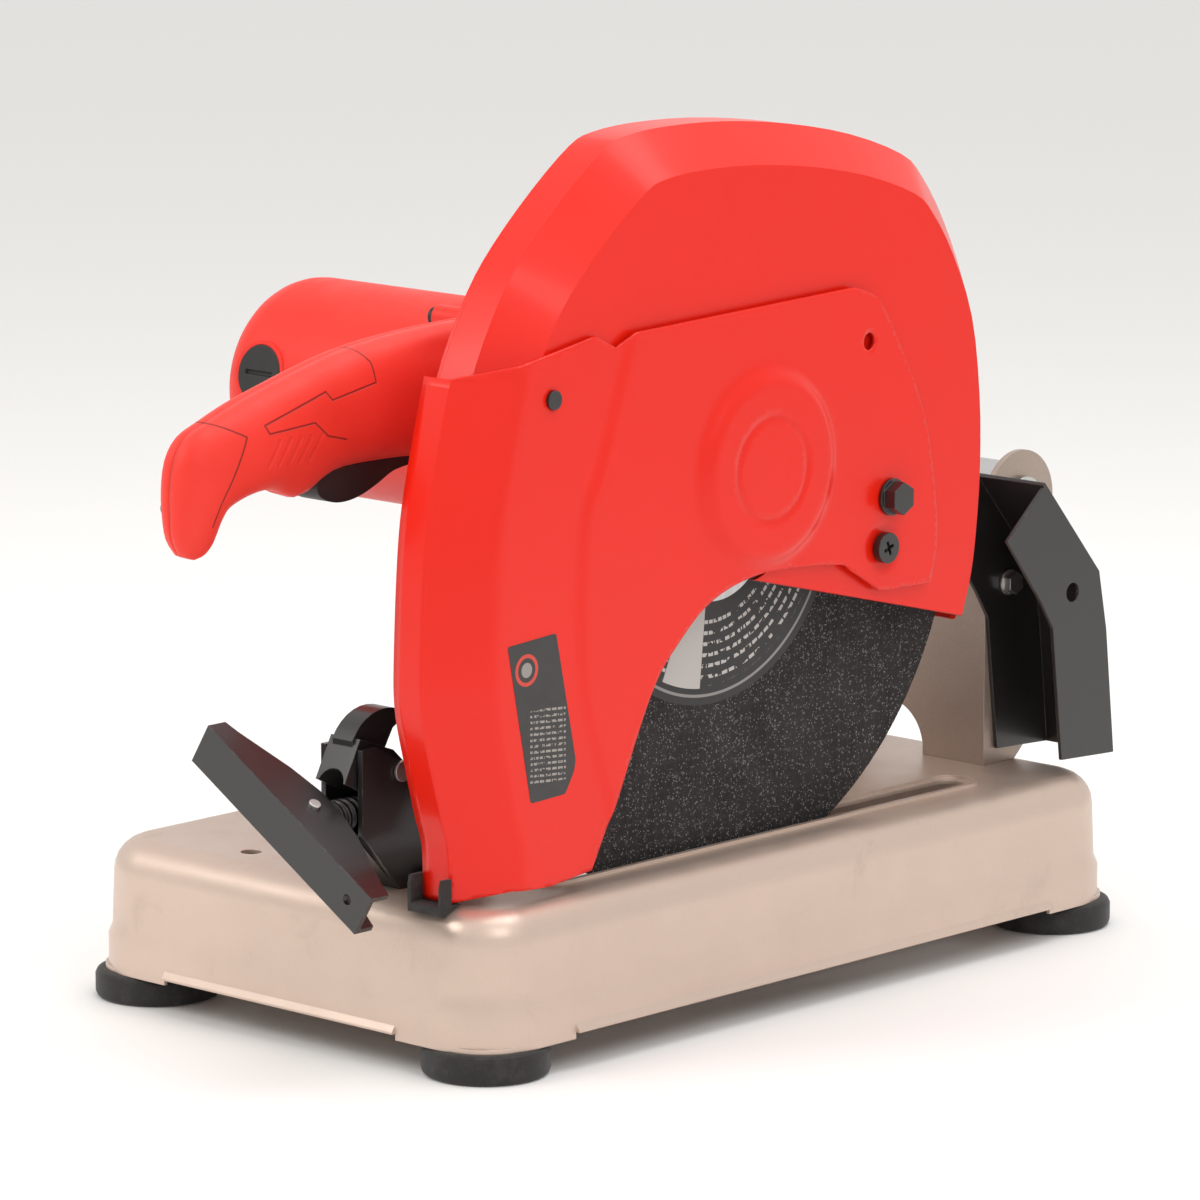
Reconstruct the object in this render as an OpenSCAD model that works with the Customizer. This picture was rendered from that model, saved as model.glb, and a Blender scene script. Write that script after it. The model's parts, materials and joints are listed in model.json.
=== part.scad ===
// Abrasive chop saw: a pressed-steel base with a quick-release vise and fence, and a
// spring-lifted cutting head with motor, gear drive, abrasive wheel and swing-up guard.
// Millimetres, +Z up. X runs along the spindle (+X is the wheel side), the operator is at -Y.

/* [Base] */
// Width of the base pan along X
base_w = 272; // [264:1:280]
// Length of the base pan along Y
base_l = 460; // [452:1:470]
// Height of the base top above the floor
base_top = 78; // [76:1:80]
// Height of the lower edge of the pan above the floor
skirt_z = 17; // [16:1:18]
// Thickness of the pan's steel sheet
sheet = 2; // [1.6:0.1:2.4]
// Corner radius of the pan
corner_r = 34; // [32:1:36]
// Radius of a rubber foot
foot_r = 30; // [26:1:31]
// Width of the wheel slot
slot_w = 16; // [14:1:18]

/* [Cutting head] */
// Wheel mid-plane, measured from the base centre
wheel_x = 92; // [92:1:92]
// Spindle position along Y
spindle_y = -33; // [-33:1:-33]
// Spindle height
spindle_z = 233; // [233:1:233]
// Radius of the abrasive wheel (14 inch wheel)
wheel_r = 177.8; // [170:0.1:178]
// Thickness of the abrasive wheel
wheel_t = 3; // [2.6:0.1:3.2]
// Radius of the wheel's arbor hole (1 inch)
arbor_r = 12.7; // [12.7:0.1:12.7]
// Radius of the wheel's paper label
label_r = 88; // [80:1:92]
// Hinge position of the head along Y
pivot_y = 215; // [215:1:215]
// Hinge height of the head
pivot_z = 210; // [210:1:210]
// Radius of the motor housing
motor_r = 52; // [50:1:52]
// Left end of the motor housing
motor_x0 = -158; // [-160:1:-156]
// Mid-plane of the handle
handle_x = 15; // [15:1:15]

/* [Gears] */
// Module of the gear pair
gear_m = 1.9; // [1.9:0.1:1.9]
// Teeth of the spindle gear
gear_n = 48; // [48:1:48]
// Teeth of the armature pinion
pinion_n = 12; // [12:1:12]
// Direction of the motor axis from the spindle, in degrees from +Y
gear_dir = 127; // [127:1:127]

/* [Vise] */
// Mid-plane of the vise screw
vise_x = 44; // [44:1:44]
// Height of the vise screw
vise_z = 115; // [115:1:115]
// Radius of the vise screw
screw_r = 8; // [7:0.5:8]
// Front face of the fence
fence_y = 45; // [40:1:50]
// How far the half-nut is lifted off the screw, in degrees
pawl_lift = 28; // [20:1:30]

/* [Hidden] */
$fn = 64;
eps = 0.01;
run = 0.05;               // radial clearance of a running fit
cx = base_w / 2 - corner_r;
cy = base_l / 2 - corner_r;
spindle = [spindle_y, spindle_z];
centre_dist = gear_m * (gear_n + pinion_n) / 2;
motor = spindle + centre_dist * [cos(gear_dir), sin(gear_dir)];
pivot = [pivot_y, pivot_z];
foot_in = 26.5;           // foot centre, measured in from the sides of the pan
foot_h = 14;              // top of the rubber feet
handle_front = 310;
ear_r = 25;
base_x = -(motor_x0 + base_w / 2 - foot_in + foot_r) / 2;  // base centre, from the middle of the whole saw
base_y = (handle_front - pivot_y - ear_r) / 2;
guard_x0 = 78;            // open side of the upper guard
guard_x1 = 98;            // where its bevel begins
guard_x2 = 118;           // its flat face
cover_x = 119;            // inner face of the swinging side cover
cover_t = 2.5;
cover_face = cover_x + cover_t + 1.2;  // outer face behind the joggle of the cover
strip_x0 = 83;            // front strip of the side cover
strip_x1 = 100;
cover_pin = [63, 236];    // hinge bolt of the side cover
boss_c = [-26, 261];      // raised round boss of the side cover
pawl_pin_at = [-205, 134];
fence_pin_at = [66, 63];
fence_arm = 100;
gear_x0 = 36;
gear_x1 = 50;
case_split = 54;
// Curved outline of the upper guard, in Y and Z, from its lower rear corner over the top to the front
guard_curve = [[140, 162], [147, 183], [151, 206], [154, 242], [153, 282], [146, 325], [130, 360],
    [113, 384], [98, 396], [60, 409], [15, 418], [-30, 423], [-70, 424], [-97, 422], [-112, 417],
    [-137, 399], [-163, 376], [-180, 356], [-197, 326], [-207, 297], [-213, 268], [-214, 251]];
guard_outline = concat(smooth(guard_curve, 3), [[-60, 222], [38, 200]]);
// Front edge of the side cover, in Y and Z, from the lower tip to the upper end
cover_front = [[-217.5, 80], [-218, 104], [-223, 121], [-229, 144], [-235, 170], [-235.5, 196],
    [-232, 250], [-225, 285], [-215, 322]];
bevel_depth = [22, 24, 24, 24, 24, 24, 25, 26, 26];
// Rear and lower edges of the side cover's plate
cover_rear = [[37, 340], [52, 334], [62, 322], [72, 305], [84, 283], [92, 260], [97, 230], [98, 210], [94, 190]];
cover_lower = [[56, 191], [36, 203], [24, 208], [-27, 211], [-63, 203], [-88, 185], [-106, 164], [-131, 113]];
// Joggle line: the plate is proud behind it
cover_joggle = [[-134, 117], [-140, 134], [-150, 168], [-153, 207], [-150, 252], [-141, 272], [-132, 296], [-120, 331]];
// Outline of the spark deflector's side wall, in Y and Z
deflector_side = [[180, 226], [152, 202], [179, 168], [188, 154], [196, 86], [235, 84], [228, 147], [222, 177]];

// ---- helpers ----

// Puts the base centre where it belongs in the saw's own frame.
module place() translate([base_x, base_y, 0]) children();

// Extrudes an outline drawn in (Y, Z) from x0 over a length h along X.
module yz(x0, h) translate([x0, 0, 0]) rotate([90, 0, 90]) linear_extrude(h) children();

// Extrudes an outline drawn in (X, Z) from y0 over a length h along +Y.
module xz(y0, h) translate([0, y0 + h, 0]) rotate([90, 0, 0]) linear_extrude(h) children();

// A round bar along X at c = [y, z], from x0 to x1.
module xbar(c, x0, x1, r) translate([x0, c[0], c[1]]) rotate([0, 90, 0]) cylinder(h = x1 - x0, r = r);

// A round bar along Y at c = [x, z], from y0 to y1.
module ybar(c, y0, y1, r) translate([c[0], y0, c[1]]) rotate([-90, 0, 0]) cylinder(h = y1 - y0, r = r);

// A round bar along Z at c = [x, y], from z0 to z1.
module zbar(c, z0, z1, r) translate([c[0], c[1], z0]) cylinder(h = z1 - z0, r = r);

// A ring around an X axis at c, drawn as a half profile of (radius, x).
module xturn(c) translate([0, c[0], c[1]]) rotate([0, 90, 0]) rotate_extrude() children();

// A box from corner a to corner b.
module box(a, b) translate(a) cube(b - a);

// A hexagon head along X, across flats af.
module xhex(c, x0, x1, af) translate([x0, c[0], c[1]]) rotate([0, 90, 0]) cylinder(h = x1 - x0, d = af / cos(30), $fn = 6);

// A hexagon head along Z, across flats af.
module zhex(c, z0, z1, af) translate([c[0], c[1], z0]) cylinder(h = z1 - z0, d = af / cos(30), $fn = 6);

// Sweeps profiles of (outward distance, Z) around a rounded rectangle: the first child on the
// corners and the stretch e beside them, the second child on the rest of the sides.
module swept_frame(e) {
    for (s = [[1, 1, 0], [-1, 1, 90], [-1, -1, 180], [1, -1, 270]])
        translate([s[0] * cx, s[1] * cy, 0]) rotate([0, 0, s[2]]) rotate_extrude(angle = 90) children(0);
    for (a = [0, 180]) rotate([0, 0, a]) {
        for (y = [cy, e - cy]) translate([cx, y, 0]) rotate([90, 0, 0]) linear_extrude(e) children(0);
        for (x = [-cx, cx - e]) translate([x, cy, 0]) rotate([90, 0, 90]) linear_extrude(e) children(0);
        translate([cx, cy - e, 0]) rotate([90, 0, 0]) linear_extrude(2 * (cy - e)) children(1);
        translate([e - cx, cy, 0]) rotate([90, 0, 90]) linear_extrude(2 * (cx - e)) children(1);
    }
}

// Points of an arc about c with radius r.
function arc(c, r, a0, a1, n) = [for (i = [0:n]) c + r * [cos(a0 + (a1 - a0) * i / n), sin(a0 + (a1 - a0) * i / n)]];

// Rounds a run of points with n steps between each pair.
function smooth(p, n) = concat([for (i = [0:len(p) - 2], k = [0:n - 1]) let (t = k / n, a = p[max(i - 1, 0)],
    b = p[i], c = p[i + 1], d = p[min(i + 2, len(p) - 1)])
    b + t / 2 * (c - a + t * (2 * a - 5 * b + 4 * c - d + t * (3 * b - a - 3 * c + d)))], [p[len(p) - 1]]);

// Moves the points of an outline towards the spindle by the factor k.
function drawn_in(pts, k) = [for (p = pts) spindle + (p - spindle) * k];

// One point of an involute on a base circle rb at the roll angle t, mirrored with s = -1.
function involute(rb, t, s) = rb * [cos(s * t) + s * t * PI / 180 * sin(s * t), sin(s * t) - s * t * PI / 180 * cos(s * t)];
function turned(p, a) = [p[0] * cos(a) - p[1] * sin(a), p[0] * sin(a) + p[1] * cos(a)];

// A spur gear's outline with n teeth, one tooth centred on the angle a0.
module gear_outline(n, a0) {
    rp = gear_m * n / 2;
    rb = rp * cos(20);
    ra = rp + 0.85 * gear_m;
    rf = rp - 1.15 * gear_m;
    slack = 0.16 / rp * 180 / PI;
    half = 90 / n + (tan(20) * 180 / PI - 20) - slack;
    t_at = function (r) sqrt(max(0, (r / rb) * (r / rb) - 1)) * 180 / PI;
    t0 = t_at(max(rf, rb));
    t1 = t_at(ra);
    polygon([for (i = [0:n - 1]) let (a = a0 + i * 360 / n) each concat(
        [turned([rf, 0], a - half)],
        [for (k = [0:3]) turned(involute(rb, t0 + (t1 - t0) * k / 3, 1), a - half)],
        [for (k = [3:-1:0]) turned(involute(rb, t0 + (t1 - t0) * k / 3, -1), a + half)],
        [turned([rf, 0], a + half)])]);
}

// ---- base ----

// Cross-section of the pressed pan: flat top, big fillet, drafted wall, step and skirt.
// The skirt ends at z0 and flares out by lip.
module pan_profile(z0, lip) {
    wall = corner_r - 3;
    fillet = 16;
    c = [wall - fillet, base_top - fillet];
    polygon(concat([[0, base_top]], arc(c, fillet, 90, 0, 6),
        [[corner_r - 2, 36], [corner_r, 31], [corner_r, z0 + 4], [corner_r + lip, z0 + 1], [corner_r + lip, z0],
         [corner_r - sheet + lip, z0], [corner_r - sheet, z0 + 3], [corner_r - sheet, 30], [corner_r - 2 - sheet, 35]],
        arc(c, fillet - sheet, 0, 90, 6), [[0, base_top - sheet]]));
}

function foot_places() = [for (x = [-1, 1], y = [-1, 1]) [x * (base_w / 2 - foot_in), y * (base_l / 2 - foot_in)]];

module stadium(w, l) {
    square([w, l - w], center = true);
    for (s = [-1, 1]) translate([0, s * (l - w) / 2]) circle(d = w);
}

module base_pan() color([0.80, 0.75, 0.69]) difference() {
    union() {
        swept_frame(25) {
            pan_profile(foot_h, 0);
            pan_profile(skirt_z, 2.2);
        }
        box([-cx, -cy, base_top - sheet], [cx, cy, base_top]);
        // corner plates that carry the feet
        for (p = foot_places()) zbar(p, foot_h, foot_h + 2.5, foot_in - 1.5);
        // raised bead around the wheel slot
        translate([wheel_x, 0, base_top - 0.5]) linear_extrude(2) difference() {
            stadium(slot_w + 12, 320);
            stadium(slot_w + 6, 314);
        }
    }
    translate([wheel_x, 0, base_top - 10]) linear_extrude(20) stadium(slot_w, 304);
    for (y = [-198, 140]) zbar([-50, y], base_top - 5, base_top + 5, 5);
    for (p = screw_places()) zbar(p, base_top - 5, base_top + 5, 3.2);
    for (p = foot_places()) zbar(p, foot_h - 1, foot_h + 4, 3.2);
    zbar(fence_pin_at, base_top - 5, base_top + 5, 5.1);
    translate([fence_pin_at[0], fence_pin_at[1], base_top - 5]) rotate([0, 0, 136])
        rotate_extrude(angle = 48) translate([fence_arm - 4.5, 0]) square([9, 10]);
}

// Where the vise bracket and the pivot bracket are bolted to the pan.
vise_screws = [[22, -182], [22, -160], [66, -182], [66, -160]];
bracket_screws = [[-36, 202], [-20, 202], [50, 202], [66, 202]];
function screw_places() = concat(vise_screws, bracket_screws);

module feet() color([0.13, 0.12, 0.12]) for (p = foot_places())
    translate([p[0], p[1], 0]) rotate_extrude() polygon([[0, 0], [foot_r - 2.5, 0], [foot_r - 0.7, 1], [foot_r, 3],
        [foot_r, foot_h - 3], [foot_r - 1, foot_h - 1], [foot_r - 3, foot_h], [3.2, foot_h], [3.2, 8], [9, 8],
        [9, 3], [0, 3]]);

module foot_screws() color([0.6, 0.6, 0.62])
    for (p = foot_places()) {
        zbar(p, 4, 8, 8);
        zbar(p, 8 - eps, foot_h + 12, 3);
        zhex(p, foot_h + 2.5, foot_h + 7.5, 10);
    }

module pivot_bracket() color([0.78, 0.73, 0.67]) difference() {
    union() {
        xz(188, 3) difference() {
            translate([-48, base_top]) square([126, 92]);
            for (x = [-48 + 12, 78 - 12]) translate([x, base_top + 92 - 12]) difference() {
                translate([x < 0 ? -13 : 0, 0]) square([13, 13]);
                circle(r = 12);
            }
        }
        for (x = [-48, 75]) yz(x, 3) {
            polygon([[191 - eps, base_top], [212, base_top], [236, 100], [236, 150], [pivot_y + ear_r, pivot_z],
                [pivot_y - ear_r + 1, pivot_z], [191 - eps, 165]]);
            translate(pivot) circle(r = ear_r);
        }
        box([-48, 191 - eps, base_top], [-8, 212, base_top + 3]);
        box([38, 191 - eps, base_top], [78, 212, base_top + 3]);
        // shelf of the depth stop
        box([0, 172, 164], [30, 189, 168]);
    }
    // arch in the front face
    xz(180, 20) union() {
        translate([-8, base_top - 1]) square([46, 8]);
        translate([15, base_top + 3]) circle(r = 23);
    }
    xbar(pivot, -60, 90, 8);
    xbar(deflector_pin, 70, 80, 3);
    zbar([15, 180], 160, 172, 4);
    for (p = bracket_screws) zbar(p, base_top - 1, base_top + 5, 3.2);
}

// Hexagon bolts that clamp a bracket onto the pan, each with its nut below the sheet.
module sheet_bolts(places, grip) for (p = places) {
    zbar(p, base_top - 12, base_top + grip + eps, 3);
    zhex(p, base_top + grip, base_top + grip + 4.5, 10);
    zhex(p, base_top - sheet - 5, base_top - sheet, 10);
}

module bracket_bolts() color([0.55, 0.55, 0.57]) sheet_bolts(bracket_screws, 3);

module pivot_axle() color([0.62, 0.62, 0.64]) difference() {
    xbar(pivot, -55, 85, 8);
    for (x = [-52, 80.5]) xturn(pivot) translate([6.8, x]) square([3, 1.2]);
}

module axle_clips() color([0.5, 0.5, 0.52])
    for (x = [-52, 80.5]) difference() {
        xbar(pivot, x + 0.05, x + 1.15, 12);
        xbar(pivot, x - 1, x + 3, 6.8);
        yz(x - 1, 4) translate([pivot_y - 3.5, pivot_z - 14]) square([7, 14]);
    }

// Torsion spring that lifts the head: a wire swept along a helix around the hub.
spring_turns = 7;
spring_ring = 10;
spring_sides = 8;
spring_wire = 2;
spring_r = 21.5;
function spring_point(i) = let (t = i * 360 / spring_ring)
    [-42 + 4.4 * i / spring_ring, pivot_y + spring_r * cos(t), pivot_z + spring_r * sin(t)];
module lift_spring() color([0.35, 0.35, 0.37]) {
    rings = spring_turns * spring_ring;
    pts = [for (i = [0:rings], k = [0:spring_sides - 1])
        let (t = i * 360 / spring_ring, a = k * 360 / spring_sides, r = spring_wire * cos(a))
        spring_point(i) + [spring_wire * sin(a), r * cos(t), r * sin(t)]];
    faces = concat([[for (k = [0:spring_sides - 1]) k]],
        [for (i = [0:rings - 1], k = [0:spring_sides - 1]) let (a = i * spring_sides + k,
            b = i * spring_sides + (k + 1) % spring_sides) [a, a + spring_sides, b + spring_sides, b]],
        [[for (k = [spring_sides - 1:-1:0]) rings * spring_sides + k]]);
    polyhedron(pts, faces);
}

module depth_stop_bolt() color([0.5, 0.5, 0.52]) {
    zbar([15, 180], 150, 186, 3.95);
    zhex([15, 180], 186 - eps, 192, 13);
    zhex([15, 180], 168, 174, 13);
    zhex([15, 180], 158, 164, 13);
}

module spark_deflector() color([0.11, 0.10, 0.10]) difference() {
    union() {
        yz(120, 2) polygon(deflector_side);
        yz(78.2, 2) polygon([[180, 226], [170, 217], [170, 180], [179, 168], [188, 154], [196, 86],
            [235, 84], [228, 147], [222, 177]]);
        yz(78.2, 43.8) polygon([[235, 84], [237, 84], [230.1, 147.4], [223.9, 178], [180.6, 228],
            [179, 226.5], [222, 177], [228, 147]]);
    }
    xbar(deflector_pin, 110, 130, 4.8);
    xbar(deflector_pin, 70, 90, 3 + run);
}

deflector_pin = [203, 170];
module deflector_bolt() color([0.5, 0.5, 0.52]) {
    xbar(deflector_pin, 70, 80.5, 3);
    xbar(deflector_pin, 80.4, 81.6, 6.5);
    xhex(deflector_pin, 81.6 - eps, 86, 10);
    xhex(deflector_pin, 70, 74.7, 10);
}

// ---- vise ----

module vise_bracket() color([0.12, 0.11, 0.11]) difference() {
    union() {
        for (x = [30, 54]) yz(x, 3) polygon([[-230, 147], [-220, 147], [-202, 137], [-150, 112], [-148, base_top + 3],
            [-148, base_top], [-206, base_top], [-209, 82], [-230, 107]]);
        // sloped front web below the screw
        yz(33 - eps, 21 + 2 * eps) polygon([[-230, 104], [-230, 107], [-227, 107], [-206, 82], [-206, base_top], [-209, 82]]);
        // rear guide block of the screw
        box([33 - eps, -164, base_top], [54 + eps, -150, 130]);
        // feet
        box([13, -192, base_top], [30 + eps, -150, base_top + 3]);
        box([57 - eps, -192, base_top], [75, -150, base_top + 3]);
    }
    ybar([vise_x, vise_z], -170, -140, screw_r + run);
    xbar(pawl_pin_at, 20, 70, 3.02);
    for (p = vise_screws) zbar(p, base_top - 1, base_top + 5, 3.2);
}

module vise_bolts() color([0.15, 0.14, 0.14]) sheet_bolts(vise_screws, 3);

module pawl_pin() color([0.4, 0.4, 0.42]) {
    xbar(pawl_pin_at, 29, 58, 3);
    xbar(pawl_pin_at, 57.2, 59, 5);
}

// Half-nut with a thumb horn, shown lifted off the screw.
module vise_pawl() color([0.12, 0.11, 0.11]) difference() {
    union() {
        translate([0, pawl_pin_at[0], pawl_pin_at[1]]) rotate([-pawl_lift, 0, 0])
            translate([0, -pawl_pin_at[0], -pawl_pin_at[1]]) difference() {
                yz(34, 19) polygon([[-233, 117], [-212, 117], [-198, 129], [-199, 139], [-210, 142], [-233, 139]]);
                ybar([vise_x, vise_z], -240, -195, screw_r + 0.3);
            }
        // thumb horn
        yz(37, 13) polygon(concat(arc([-208, 138], 25, 150, 68, 8), [[-194, 158], [-203, 153], [-209, 143], [-212, 136], [-229, 143]]));
    }
    xbar(pawl_pin_at, 20, 70, 3.05);
}

module jaw_yoke() color([0.20, 0.19, 0.19]) difference() {
    union() {
        box([vise_x - 10, -19, 104], [vise_x + 10, -6, 126]);
        box([vise_x - 7, -6 - eps, 110], [vise_x + 7, 6, 120]);
        zbar([vise_x, 6], 110, 120, 7);
    }
    ybar([vise_x, vise_z], -20, -8, 5 + run);
    zbar([vise_x, 6], 100, 130, 4);
}

module jaw_pin() color([0.45, 0.45, 0.47]) {
    zbar([vise_x, 6], 101, 127, 4);
    zbar([vise_x, 6], 126.6, 128.6, 6.5);
}

module vise_jaw() color([0.14, 0.13, 0.13]) difference() {
    union() {
        box([-18, 14, base_top + 0.5], [72, 25, 128]);
        for (z = [103.7, 120.3]) {
            box([vise_x - 9, 6, z], [vise_x + 9, 14 + eps, z + 6]);
            zbar([vise_x, 6], z, z + 6, 9);
        }
    }
    zbar([vise_x, 6], 100, 130, 4 + run);
}

module vise_screw() color([0.22, 0.21, 0.21]) difference() {
    union() {
        ybar([vise_x, vise_z], -264, -19.3, screw_r);
        ybar([vise_x, vise_z], -19.3 - eps, -8.3, 5);
    }
    translate([vise_x, -254, vise_z]) rotate([0, 31.7, 0]) cylinder(h = 40, r = 3, center = true);
}

// Channel-shaped crank with a pin through both flanges.
module crank_bar() color([0.22, 0.19, 0.20]) translate([vise_x, -270, vise_z]) rotate([0, 31.7, 0]) difference() {
    union() {
        translate([-62, 0, -8.3]) cube([124, 2.5, 16.6]);
        for (z = [-10.7, 8.2]) translate([0, 0, z]) linear_extrude(2.5)
            polygon([[-62, 0], [62, 0], [62, 11], [54, 13], [26, 23], [8, 27], [-8, 27], [-26, 23], [-54, 13], [-62, 11]]);
    }
    translate([0, 16, 0]) cylinder(h = 60, r = 3.02, center = true);
    translate([50, -1, 0]) rotate([-90, 0, 0]) cylinder(h = 5, r = 2.5);
}

module crank_pin() color([0.3, 0.3, 0.3]) translate([vise_x, -254, vise_z]) rotate([0, 31.7, 0]) cylinder(h = 25, r = 2.98, center = true);

module fence() color([0.15, 0.14, 0.14]) difference() {
    union() {
        box([-66, fence_y, base_top + 0.4], [77, fence_y + 6, 130]);
        box([-66, fence_y + 6 - eps, base_top + 0.4], [66, fence_y + 32, base_top + 5]);
        box([66 - eps, fence_y + 6 - eps, base_top + 0.4], [77, fence_pin_at[1], base_top + 5]);
        zbar(fence_pin_at, base_top + 0.4, base_top + 5, 11);
        for (x = [-62, 20]) yz(x, 5) polygon([[fence_y + 6 - eps, base_top + 4], [fence_y + 30, base_top + 4], [fence_y + 6 - eps, 122]]);
    }
    zbar(fence_pin_at, base_top - 1, base_top + 6, 5 + run);
    zbar(fence_pin_at - [fence_arm, 0], base_top - 1, base_top + 6, 4.02);
}

module fence_pivot_bolt() color([0.5, 0.5, 0.52]) {
    zbar(fence_pin_at, base_top - 12, base_top + 5.3, 5);
    zhex(fence_pin_at, base_top + 5.3 - eps, base_top + 11, 16);
    zhex(fence_pin_at, base_top - sheet - 6, base_top - sheet, 16);
}

module fence_lock_bolt() color([0.5, 0.5, 0.52]) {
    p = fence_pin_at - [fence_arm, 0];
    zbar(p, base_top - 12, base_top + 5 + eps, 4);
    zhex(p, base_top + 5, base_top + 10, 13);
    zhex(p, base_top - sheet - 6.3, base_top - sheet - 0.3, 13);
}

// ---- head ----

// Outline of the gear case around the spindle and the motor shaft.
module case_outline(r_spindle, r_motor) {
    translate(spindle) circle(r = r_spindle);
    translate(motor) circle(r = r_motor);
    u = (motor - spindle) / centre_dist;
    v = [-u[1], u[0]];
    polygon([spindle + v * r_spindle * 0.9, motor + v * r_motor * 0.9,
        motor - v * r_motor * 0.9, spindle - v * r_spindle * 0.9]);
}

module head_arm() color([0.72, 0.72, 0.72]) difference() {
    union() {
        yz(8, case_split - 8) case_outline(56, 36);
        // arm from the gear case to the hinge
        yz(8, 32) polygon([[-40, 262], [-20, 286], [40, 276], [150, 246], [pivot_y, pivot_z + 18],
            [pivot_y, pivot_z - 17], [150, 193], [40, 196], [10, 202]]);
        xbar(pivot, -43.5, 74.5, 18);
        // lug for the handle halves
        box([9, -138, 290], [21, -84, 320]);
        // flange that the motor is screwed to
        yz(8, 11) {
            translate(motor) circle(r = motor_r);
            for (p = motor_screw_places()) translate(p) circle(r = 7);
        }
        // bosses of the case screws
        for (p = case_screw_places()) xbar(p, 24, case_split, 7);
    }
    for (p = motor_screw_places()) xbar(p, 7, 22, 2.5);
    xbar(handle_screw_places()[0], 0, 30, 2.05);
    // gear chamber
    yz(gear_x0 - 3, case_split - gear_x0 + 3 + eps) {
        translate(spindle) circle(r = 49.5);
        translate(motor) circle(r = 16.5);
    }
    // rear spindle bearing seat and shaft hole
    xbar(spindle, 20, gear_x0, 17.5);
    // front armature bearing seat and shaft hole
    xbar(motor, 7, gear_x0, 9);
    xbar(motor, 7, 18, 16);
    // hinge bore; the hub is relieved where the lift spring sits
    xbar(pivot, -60, 90, 8 + run);
    for (p = case_screw_places()) xbar(p, 36, case_split + 1, 2.5);
}

// Screws around the rim of the gear case.
function case_screw_places() = [for (a = [-75, 10, 200, 285 - 20]) spindle + 58 * [cos(a), sin(a)]];

module gearcase_cover() color([0.72, 0.72, 0.72]) difference() {
    union() {
        yz(case_split, 10) case_outline(56, 36);
        for (p = case_screw_places()) xbar(p, case_split, case_split + 10, 7);
        xbar(spindle, case_split + 10 - eps, 77.5, 36);
    }
    xbar(spindle, case_split - 1, 70, 22);
    xbar(spindle, 60, 90, 12);
    for (p = case_screw_places()) xbar(p, case_split - 1, 80, 3);
    xbar(motor, case_split - 1, case_split + 4, 12);
}

module gearcase_screws() color([0.5, 0.5, 0.52])
    for (p = case_screw_places()) {
        xbar(p, 40, case_split + 10 + eps, 2.5);
        xbar(p, case_split + 10, case_split + 13, 5);
    }

// The plate behind the wheel carries the guard on the nose of the gear case.
module guard_back_plate() color([0.85, 0.12, 0.10]) difference() {
    yz(guard_x0 - 2, 2) polygon(guard_outline);
    xbar(spindle, 70, 90, 36.1);
    for (p = guard_screw_places()) xbar(p, 70, 90, 3.2);
}

function guard_screw_places() = [for (a = [35, 90, 150]) spindle + 44 * [cos(a), sin(a)]];

// Deep-drawn shell: rim, bevel and flat face, open towards the back plate and below.
module upper_guard() color([0.90, 0.13, 0.11]) difference() {
    union() {
        yz(guard_x0, guard_x1 - guard_x0) polygon(guard_outline);
        hull() {
            yz(guard_x1 - eps, eps) polygon(guard_outline);
            yz(guard_x2 - eps, eps) polygon(drawn_in(guard_outline, 0.9));
        }
    }
    yz(guard_x0 - 1, guard_x1 - guard_x0 + 1) polygon(drawn_in(guard_outline, 0.984));
    hull() {
        yz(guard_x1 - 2 * eps, eps) polygon(drawn_in(guard_outline, 0.984));
        yz(guard_x2 - 2.5, eps) polygon(drawn_in(guard_outline, 0.885));
    }
    // open underside
    yz(guard_x0 - 1, guard_x2 - guard_x0 - 1.5) polygon([[136.5, 167], [136.5, 130], [-211, 130], [-211, 253], [-60, 225], [38, 203]]);
    // opening over the wheel bolt, hidden by the side cover
    xbar(spindle, 110, 125, 26);
    xbar(cover_pin, 100, 125, 4.05);
}

module guard_screws() color([0.5, 0.5, 0.52])
    for (p = guard_screw_places()) {
        xbar(p, guard_x0 - 12, guard_x0 + eps, 3);
        xbar(p, guard_x0, guard_x0 + 2, 5.5);
    }

module cover_pivot_bolt() color([0.12, 0.11, 0.12]) {
    xbar(cover_pin, 106, cover_face + 0.3 + eps, 4);
    xbar(cover_pin, 106, 115.4, 7);
    xbar(cover_pin, cover_face + 0.3, cover_face + 2.3, 9);
    xhex(cover_pin, cover_face + 2.3 - eps, cover_face + 9, 14);
}

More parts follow.
